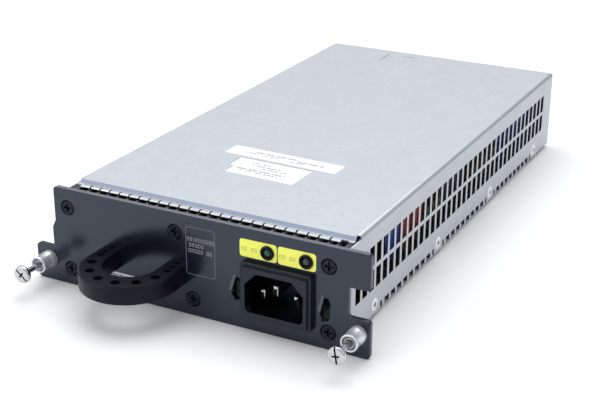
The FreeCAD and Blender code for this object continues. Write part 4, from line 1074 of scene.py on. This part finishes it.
@dataclass(frozen=True)
class CoverLabels(SubAssembly):
    """The two white labels on the cover, with plain strokes for their print.

    Attributes:
        scripts: The print on each label.
        edges: The darker lines along the upper label's near and left edges.
    """

    parts: tuple[Dressed, ...] = (Dressed("cover_labels", "label_white"),)
    scripts: tuple[Script, ...] = (
        Script(
            (-32.1, 70.5, LABEL_TOP),
            (
                (12.5, 33.0, 6.1, 1.3),
                (8.0, 14.0, 4.3, 1.0),
                (17.0, 24.0, 4.0, 0.9),
                (33.5, 46.0, 4.6, 1.3),
                (30.5, 38.5, 3.0, 0.9),
            ),
        ),
        Script(
            (-20.2, 50.8, LABEL_TOP),
            (
                (5.0, 13.5, 13.6, 0.9),
                (6.5, 19.5, 11.4, 1.1),
                (12.0, 24.0, 9.4, 1.0),
                (2.0, 24.5, 6.2, 1.3),
                (4.0, 9.0, 4.6, 0.8),
                (11.5, 22.0, 4.2, 1.0),
            ),
        ),
    )
    edges: tuple[Plate, ...] = (
        Plate((-5.4, 67.85, LABEL_TOP), 34.4, 0.4, Facing.TOP, turn=-1.5),
        Plate((-22.85, 63.4, LABEL_TOP), 9.6, 0.4, Facing.TOP, turn=89.0),
    )

    def detail(self) -> None:
        """Print the labels' strokes and lay the darker lines along the upper label's edges."""
        rows = [plate for script in self.scripts for plate in script.plates()]
        printed("cover_label_print", rows, "print_grey")
        printed("cover_label_edge", self.edges, "label_edge_dark")


@dataclass(frozen=True)
class FrontPanel(SubAssembly):
    """The painted front panel with its screws, outline print and status labels.

    Attributes:
        window: The outline of the rating window.
        cell: One of the rating's hollow cells.
        cell_pitch: The cells' pitch.
        cell_shares: The shares of its width that a cell takes, used in turn.
        rows: Height, first cell's place, number of cells and cell left out of each row.
        word: A faint stroke on a status label.
        words: The strokes' places.
        screws: Place and height of each panel screw.
        mouth: Diameter and line width of the painted shade round a screw.
        sticker: The white sticker.
        bar: One of its bars.
        bars: Where its first bar begins and where no further one does.
        bar_widths: The bars' widths, used in turn.
        bar_gaps: The gaps after them, used in turn.
    """

    parts: tuple[Dressed, ...] = (
        Dressed("front_panel", "panel_paint", 0.18),
        Dressed("panel_screws", "black_screw", 0.06),
        Dressed("status_labels", "label_lime"),
    )
    window: Plate = Plate((-1.2, 0.0, 27.35), 13.0, 19.9, corner=1.2, line=0.3)
    cell: Plate = Plate((0.0, 0.0, 0.0), 1.0, 1.6, corner=0.2, line=0.19)
    cell_pitch: float = 1.36
    cell_shares: tuple[float, ...] = (1.0, 0.75, 1.0)
    rows: tuple[tuple[float, float, int, int], ...] = (
        (32.2, -6.5, 9, -1),
        (29.9, -5.7, 5, -1),
        (27.5, -6.1, 8, 5),
    )
    word: Plate = Plate((0.0, -0.12, 33.4), 0.95, 1.6, corner=0.25, line=0.22)
    words: tuple[float, ...] = (17.2, 18.6, 21.4, 22.8, 33.3, 34.7, 37.5, 38.9)
    screws: tuple[Pair, ...] = (
        (-63.0, 33.6),
        (-12.6, 33.6),
        (52.9, 33.6),
        (-63.0, 6.95),
        (-5.0, 6.95),
        (52.9, 6.95),
    )
    mouth: Pair = (6.5, 0.42)
    sticker: Plate = Plate((-32.9, 0.0, 7.15), 25.0, 6.5, corner=0.5)
    bar: Plate = Plate((0.0, -PRINT_LIFT, 8.2), 0.3, 2.9)
    bars: Pair = (-44.6, -22.0)
    bar_widths: tuple[float, ...] = (0.3, 0.2, 0.45, 0.25, 0.6, 0.2, 0.35)
    bar_gaps: tuple[float, ...] = (0.22, 0.3, 0.2, 0.42)

    def cells(self) -> list[Plate]:
        """Return the small hollow cells that stand for the rating's rows."""
        plates = []
        for height, left, count, gap in self.rows:
            for number in range(count):
                if number != gap:
                    x = left + number * self.cell_pitch
                    share = self.cell_shares[number % len(self.cell_shares)]
                    width = self.cell.width * share
                    plates.append(replace(self.cell, middle=(x, 0.0, height), width=width))
        return plates

    def detail(self) -> None:
        """Print the panel, its labels and its sticker."""
        across, line = self.mouth
        mouths = [disc((x, 0.0, z), across, line=line) for x, z in self.screws]
        words = [self.word.moved(x, self.word.width) for x in self.words]
        widths = strokes(*self.bars, self.bar_widths, self.bar_gaps)
        bars = [self.bar.moved(x, width) for x, width in widths]
        printed("rating_window", [self.window], "print_frame")
        printed("rating_rows", self.cells(), "print_dim")
        printed("lamp_words", words, "print_olive")
        printed("screw_mouth_shades", mouths, "deep_shade")
        printed("panel_sticker", [self.sticker], "label_white")
        printed("panel_sticker_bars", bars, "print_black")


@dataclass(frozen=True)
class Inlet(SubAssembly):
    """The appliance inlet with its three blades.

    Attributes:
        ends: Place of the painted shade on each blade's flat end in millimetres.
        end_size: Width and height of that painted shade in millimetres.
    """

    parts: tuple[Dressed, ...] = (
        Dressed("inlet_housing", "inlet_black", 0.15),
        Dressed("inlet_blades", "contact_metal", 0.08),
    )
    ends: tuple[Place, ...] = ((25.32, 0.7, 15.3), (32.32, -2.1, 19.3), (39.32, 0.7, 15.3))
    end_size: Pair = (1.15, 2.9)

    def detail(self) -> None:
        """Shade the blades' ends."""
        printed("blade_end_shades", [Plate(p, *self.end_size) for p in self.ends], "deep_shade")


@dataclass(frozen=True)
class CaptiveFastener:
    """A captive screw with its collar and spring; both sides share one ferrule node.

    Attributes:
        side: "left" or "right".
        turns: Turns of the spring.
        wire: Radius of the spring's wire in millimetres.
        coil: Mean radius of the spring in millimetres.
        keep: Not used.
        slot_shade: Diameter of the shade in the screw's slot and its depth in millimetres.
        mouths: Radius and depth of each bright ring at the collar's mouth in millimetres.
        mouth_wire: Radius of the rings' section in millimetres.
    """

    side: str
    turns: float = 4.0
    wire: float = 0.2
    coil: float = 1.75
    keep: float = 0.32
    slot_shade: Pair = (6.2, 0.35)
    mouths: tuple[Pair, ...] = ((2.0, -7.86), (1.6, -7.80))
    mouth_wire: float = 0.1

    def build(self) -> None:
        """Dress the screw and collar and wind the spring."""
        Dressed(f"captive_screw_{self.side}", "nickel", 0.08).build()
        low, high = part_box(f"captive_screw_{self.side}")
        across, inwards = self.slot_shade
        x = (low.x + high.x) / 2 / MM + ORIGIN_X
        y = low.y / MM + ORIGIN_Y + inwards
        z = (low.z + high.z) / 2 / MM
        # Painted shade in the screw's slot.
        plates = [disc((x, y, z), across)]
        printed(f"captive_slot_shade_{self.side}", plates, "deep_shade", f"turning_screw_{self.side}")
        Dressed(f"captive_collar_{self.side}", "shaded_collar", 0.1).build()
        mouth = Piece(f"captive_mouth_{self.side}")
        for radius, depth in self.mouths:
            place = Matrix.Translation(at(x, depth, z)) @ REARWARD
            mouth.wind(place, radius * MM, self.mouth_wire * MM)
        mouth.finish("spring_steel", f"carriage_{self.side}", ROUND_SHARP)
        self.wind_spring()

    def wind_spring(self) -> None:
        """Wind the spring between the ferrule's floor and the collar."""
        node = f"captive_spring_{self.side}"
        low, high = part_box(node)
        wire = self.wire * MM
        piece = Piece(f"{node}_coil")
        base = Vector(((low.x + high.x) / 2, low.y + wire, (low.z + high.z) / 2))
        place = Matrix.Translation(base) @ REARWARD
        piece.wind(place, self.coil * MM, wire, self.turns, high.y - low.y - 2 * wire)
        made = piece.finish("spring_steel", HOUSING, ROUND_SHARP)
        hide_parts(node)
        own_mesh(made)
        log.info("%s: wound", node)


@dataclass(frozen=True)
class WoundRings:
    """Upright ring cores, each wound with one layer of enamelled wire.

    Lengths are in millimetres.

    Attributes:
        node: The CAD node that the rings belong to.
        spots: Each ring's place on the board.
        radius: The core's mean radius.
        tube: The radius of the wound core's section.
        turns: The number of turns on each core.
        wire: The wire's radius.
        inset: How much thinner than the winding the core's section is, in wire radii.
        clear: The winding's height over the board.
        foot: How far a foot reaches past the core, half its depth, and its height.
    """

    node: str
    spots: tuple[Pair, ...]
    radius: float
    tube: float
    turns: int
    wire: float = 0.55
    inset: float = 1.2
    clear: float = 1.0
    foot: tuple[float, float, float] = (0.4, 3.0, 3.0)

    def build(self) -> None:
        """Wind the rings and set their cores on feet."""
        low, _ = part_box(self.node)
        board = low.z / MM
        winding = Piece(f"{self.node}_winding")
        core = Piece(f"{self.node}_core")
        past, half, tall = self.foot
        span = self.radius + past
        for x, y in self.spots:
            middle = Matrix.Translation(at(x, y, board + self.radius + self.tube + self.clear))
            tube = self.tube - self.inset * self.wire
            core.wind(middle @ REARWARD, self.radius * MM, tube * MM)
            core.block(at(x - span, y - half, board), at(x + span, y + half, board + tall))
            for turn in range(self.turns):
                angle = 2 * math.pi * (turn + 0.5) / self.turns
                outwards = Matrix.Translation((self.radius * MM, 0, 0))
                spoke = Matrix.Rotation(angle, 4, "Y") @ outwards
                winding.wind(middle @ spoke, (self.tube - self.wire) * MM, self.wire * MM)
        core.finish("ferrite")
        made = winding.finish("copper_winding", HOUSING, ROUND_SHARP)
        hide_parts(self.node)
        log.info("%s: wound with %d turns each", self.node, self.turns)


BOARD_LOOKS: dict[str, str] = {
    "main_board": "board_green",
    "board_posts": "zinc",
    "board_screws": "zinc",
    "insulator_sheet": "insulator",
    "line_filter_capacitor": "capacitor_blue",
    "safety_capacitors": "capacitor_red",
    "film_capacitors": "capacitor_yellow",
    "edge_components": "edge_parts",
    "relay_block": "relay_black",
    "bridge_rectifier": "relay_black",
    "switching_transistors": "chip_black",
    "output_capacitors": "sleeve_dark_blue",
    "auxiliary_capacitors": "sleeve_dark_blue",
    "bulk_capacitors": "relay_black",
    "transformer_core": "ferrite",
    "transformer_winding": "tape_yellow",
    "primary_heat_sink": "sink_aluminium",
    "output_heat_sink": "sink_aluminium",
    "control_board": "board_green",
    "control_chips": "chip_black",
    "output_choke": "ferrite",
    "output_bus_bars": "copper_bar",
    "line_fuse": "fuse_ceramic",
    "neutral_wire": "wire_blue",
    "earth_wire": "wire_earth",
    "live_wire": "wire_brown",
}


@dataclass(frozen=True)
class Interior(SubAssembly):
    """Everything on the main board, most of it seen through the vents.

    Attributes:
        rings: The wound chokes.
    """

    parts: tuple[Dressed, ...] = tuple(Dressed(node, look) for node, look in BOARD_LOOKS.items())
    rings: tuple[WoundRings, ...] = (
        WoundRings("line_chokes", ((21.0, 46.0), (21.0, 62.0)), 8.0, 3.6, 22),
        WoundRings("boost_choke", ((33.0, 102.0),), 9.0, 4.2, 26),
    )

    def detail(self) -> None:
        """Wind the chokes."""
        for ring in self.rings:
            ring.build()


@dataclass(frozen=True)
class Case(SubAssembly):
    """The galvanised case: cover, tray, front bulkhead, finger strip and screws."""

    parts: tuple[Dressed, ...] = (
        Dressed("top_cover", "galvanised", 0.1),
        Dressed("chassis_tray", "galvanised", 0.1),
        # The bulkhead's dark finish is painted shade.
        Dressed("front_bulkhead", "shaded_zinc"),
        Dressed("contact_finger_strip", "spring_steel"),
        Dressed("cover_screws", "screw_zinc"),
        Dressed("clinch_nuts", "zinc"),
    )


@dataclass(frozen=True)
class Lamps(SubAssembly):
    """The two status lamps in their rings."""

    parts: tuple[Dressed, ...] = (
        Dressed("lamp_rings", "black_moulding", 0.08),
        Dressed("lamp_lens_green", "lamp_green", smooth=ROUND_SHARP),
        Dressed("lamp_lens_clear", "lamp_clear", smooth=ROUND_SHARP),
    )


@dataclass(frozen=True)
class PullHandle(SubAssembly):
    """The moulded pull handle and its two screws behind the panel."""

    parts: tuple[Dressed, ...] = (
        Dressed("pull_handle", "black_moulding", 0.35, 40.0),
        Dressed("handle_screws", "zinc"),
    )


@dataclass(frozen=True)
class RearPlug(SubAssembly):
    """The blind-mate plug on the rear wall."""

    parts: tuple[Dressed, ...] = (
        Dressed("rear_connector_shell", "inlet_black", 0.12),
        Dressed("rear_signal_pins", "contact_metal"),
    )


@dataclass(frozen=True)
class Ferrules(SubAssembly):
    """The ferrules of both captive fasteners, which are one node."""

    parts: tuple[Dressed, ...] = (Dressed("captive_ferrules", "ferrule_zinc", 0.1),)


# ------------------------------------------------------------------ studio


@dataclass(frozen=True)
class Lamp:
    """A soft white area light that is aimed at the part.

    Attributes:
        name: The light's name.
        place: Its place in metres.
        aim: The point that it looks at.
        power: Its power in watts.
        size: Its width and height in metres.
    """

    name: str
    place: Place
    aim: Place
    power: float
    size: Pair

    def build(self) -> None:
        """Hang the light."""
        data = bpy.data.lights.new(self.name, "AREA")
        data.shape = "RECTANGLE"
        data.size, data.size_y = self.size
        data.energy = self.power
        way = Vector(self.aim) - Vector(self.place)
        turn = way.to_track_quat("-Z", "Y").to_matrix().to_4x4()
        linked(self.name, data).matrix_world = Matrix.Translation(self.place) @ turn


@dataclass(frozen=True)
class Studio:
    """The pale floor, the soft lights and the camera.

    Attributes:
        floor_half: Half the floor's side in metres.
        floor_drop: How far in metres it lies under the part.
        floor_tones: The tones that its colour wanders between.
        sky_ramp: Lower and upper height, then the sky's strength at each.
        sky_tone: The sky's colour.
        lamps: The lights.
        lens: The camera's focal length in millimetres.
        clip: The nearest and furthest distance in metres that it shows.
        eye: Its place in metres.
        right: The way to the right of its picture.
        up: The way up its picture.
        back: The way from the part to the camera.
    """

    floor_half: float = 6.0
    floor_drop: float = 0.0002
    floor_tones: tuple[Colour, Colour] = ((0.86, 0.865, 0.87), (0.89, 0.895, 0.90))
    sky_ramp: Four = (0.0, 0.5, 0.35, 0.75)
    sky_tone: Colour = (0.95, 0.975, 1.0)
    lamps: tuple[Lamp, ...] = (
        Lamp("overhead", (-0.15, 0.35, 1.25), (0.0, 0.05, 0.0), 11.5, (1.3, 1.1)),
        Lamp("left_front", (-0.9, -1.0, 0.8), (0.0, 0.0, 0.02), 6.6, (1.5, 1.1)),
        Lamp("right", (1.25, 0.1, 0.7), (0.05, 0.05, 0.02), 0.8, (0.8, 0.5)),
    )
    lens: float = 74.93
    clip: Pair = (0.02, 40.0)
    eye: Place = (0.234978, -0.479734, 0.225740)
    right: Place = (0.88637, 0.46296, 0.004098)
    up: Place = (-0.182416, 0.341087, 0.922163)
    back: Place = (0.425527, -0.818124, 0.386781)

    def floor(self) -> None:
        """Lay the floor."""
        mesh = bmesh.new()
        bmesh.ops.create_grid(mesh, x_segments=1, y_segments=1, size=self.floor_half)
        bmesh.ops.translate(mesh, vec=(0, 0, -self.floor_drop), verts=mesh.verts)
        data = bpy.data.meshes.new("floor")
        mesh.to_mesh(data)
        mesh.free()
        graph = Graph("floor_paper")
        dim, pale = self.floor_tones
        tone = graph.blend(graph.noise(3.0, 2.0), shade(dim), shade(pale))
        graph.set(Base_Color=tone, Roughness=0.75)
        data.materials.append(graph.material)
        made = linked("floor", data)

    def sky(self) -> None:
        """Fill the surroundings with white light that dims a little towards the horizon."""
        world = bpy.data.worlds.new("studio_white")
        world.use_nodes = True
        tree = world.node_tree
        back = tree.nodes["Background"]
        place = tree.nodes.new("ShaderNodeTexCoord")
        split = tree.nodes.new("ShaderNodeSeparateXYZ")
        tree.links.new(place.outputs["Generated"], split.inputs["Vector"])
        ramp = tree.nodes.new("ShaderNodeMapRange")
        for name, number in zip(RANGE_ENDS, self.sky_ramp):
            ramp.inputs[name].default_value = number
        tree.links.new(split.outputs["Z"], ramp.inputs["Value"])
        tree.links.new(ramp.outputs["Result"], back.inputs["Strength"])
        back.inputs["Color"].default_value = shade(self.sky_tone)
        bpy.context.scene.world = world

    def camera(self) -> None:
        """Place the camera."""
        data = bpy.data.cameras.new("view")
        data.lens = self.lens
        data.clip_start, data.clip_end = self.clip
        made = linked("view", data)
        columns = [Vector(way).to_4d() for way in (self.right, self.up, self.back, self.eye)]
        for column in columns[:3]:
            column.w = 0.0
        made.matrix_world = Matrix(columns).transposed()
        bpy.context.scene.camera = made

    def build(self) -> None:
        """Set the whole studio up."""
        bpy.context.scene.view_settings.view_transform = "Standard"
        self.floor()
        self.sky()
        for lamp in self.lamps:
            lamp.build()
        self.camera()


def main() -> None:
    """Build every sub-assembly in order."""
    logging.basicConfig(level=logging.INFO, format="%(name)s: %(message)s")
    for part in (
        Case(),
        FingerBand(),
        SideDetails(),
        CoverLabels(),
        FrontPanel(),
        Lamps(),
        PullHandle(),
        Inlet(),
        CaptiveFastener("left"),
        CaptiveFastener("right"),
        Interior(),
        RearPlug(),
        Ferrules(),
    ):
        part.build()
        log.info("%s is in place", type(part).__name__)
    Studio().build()


if __name__ == "__main__":
    main()
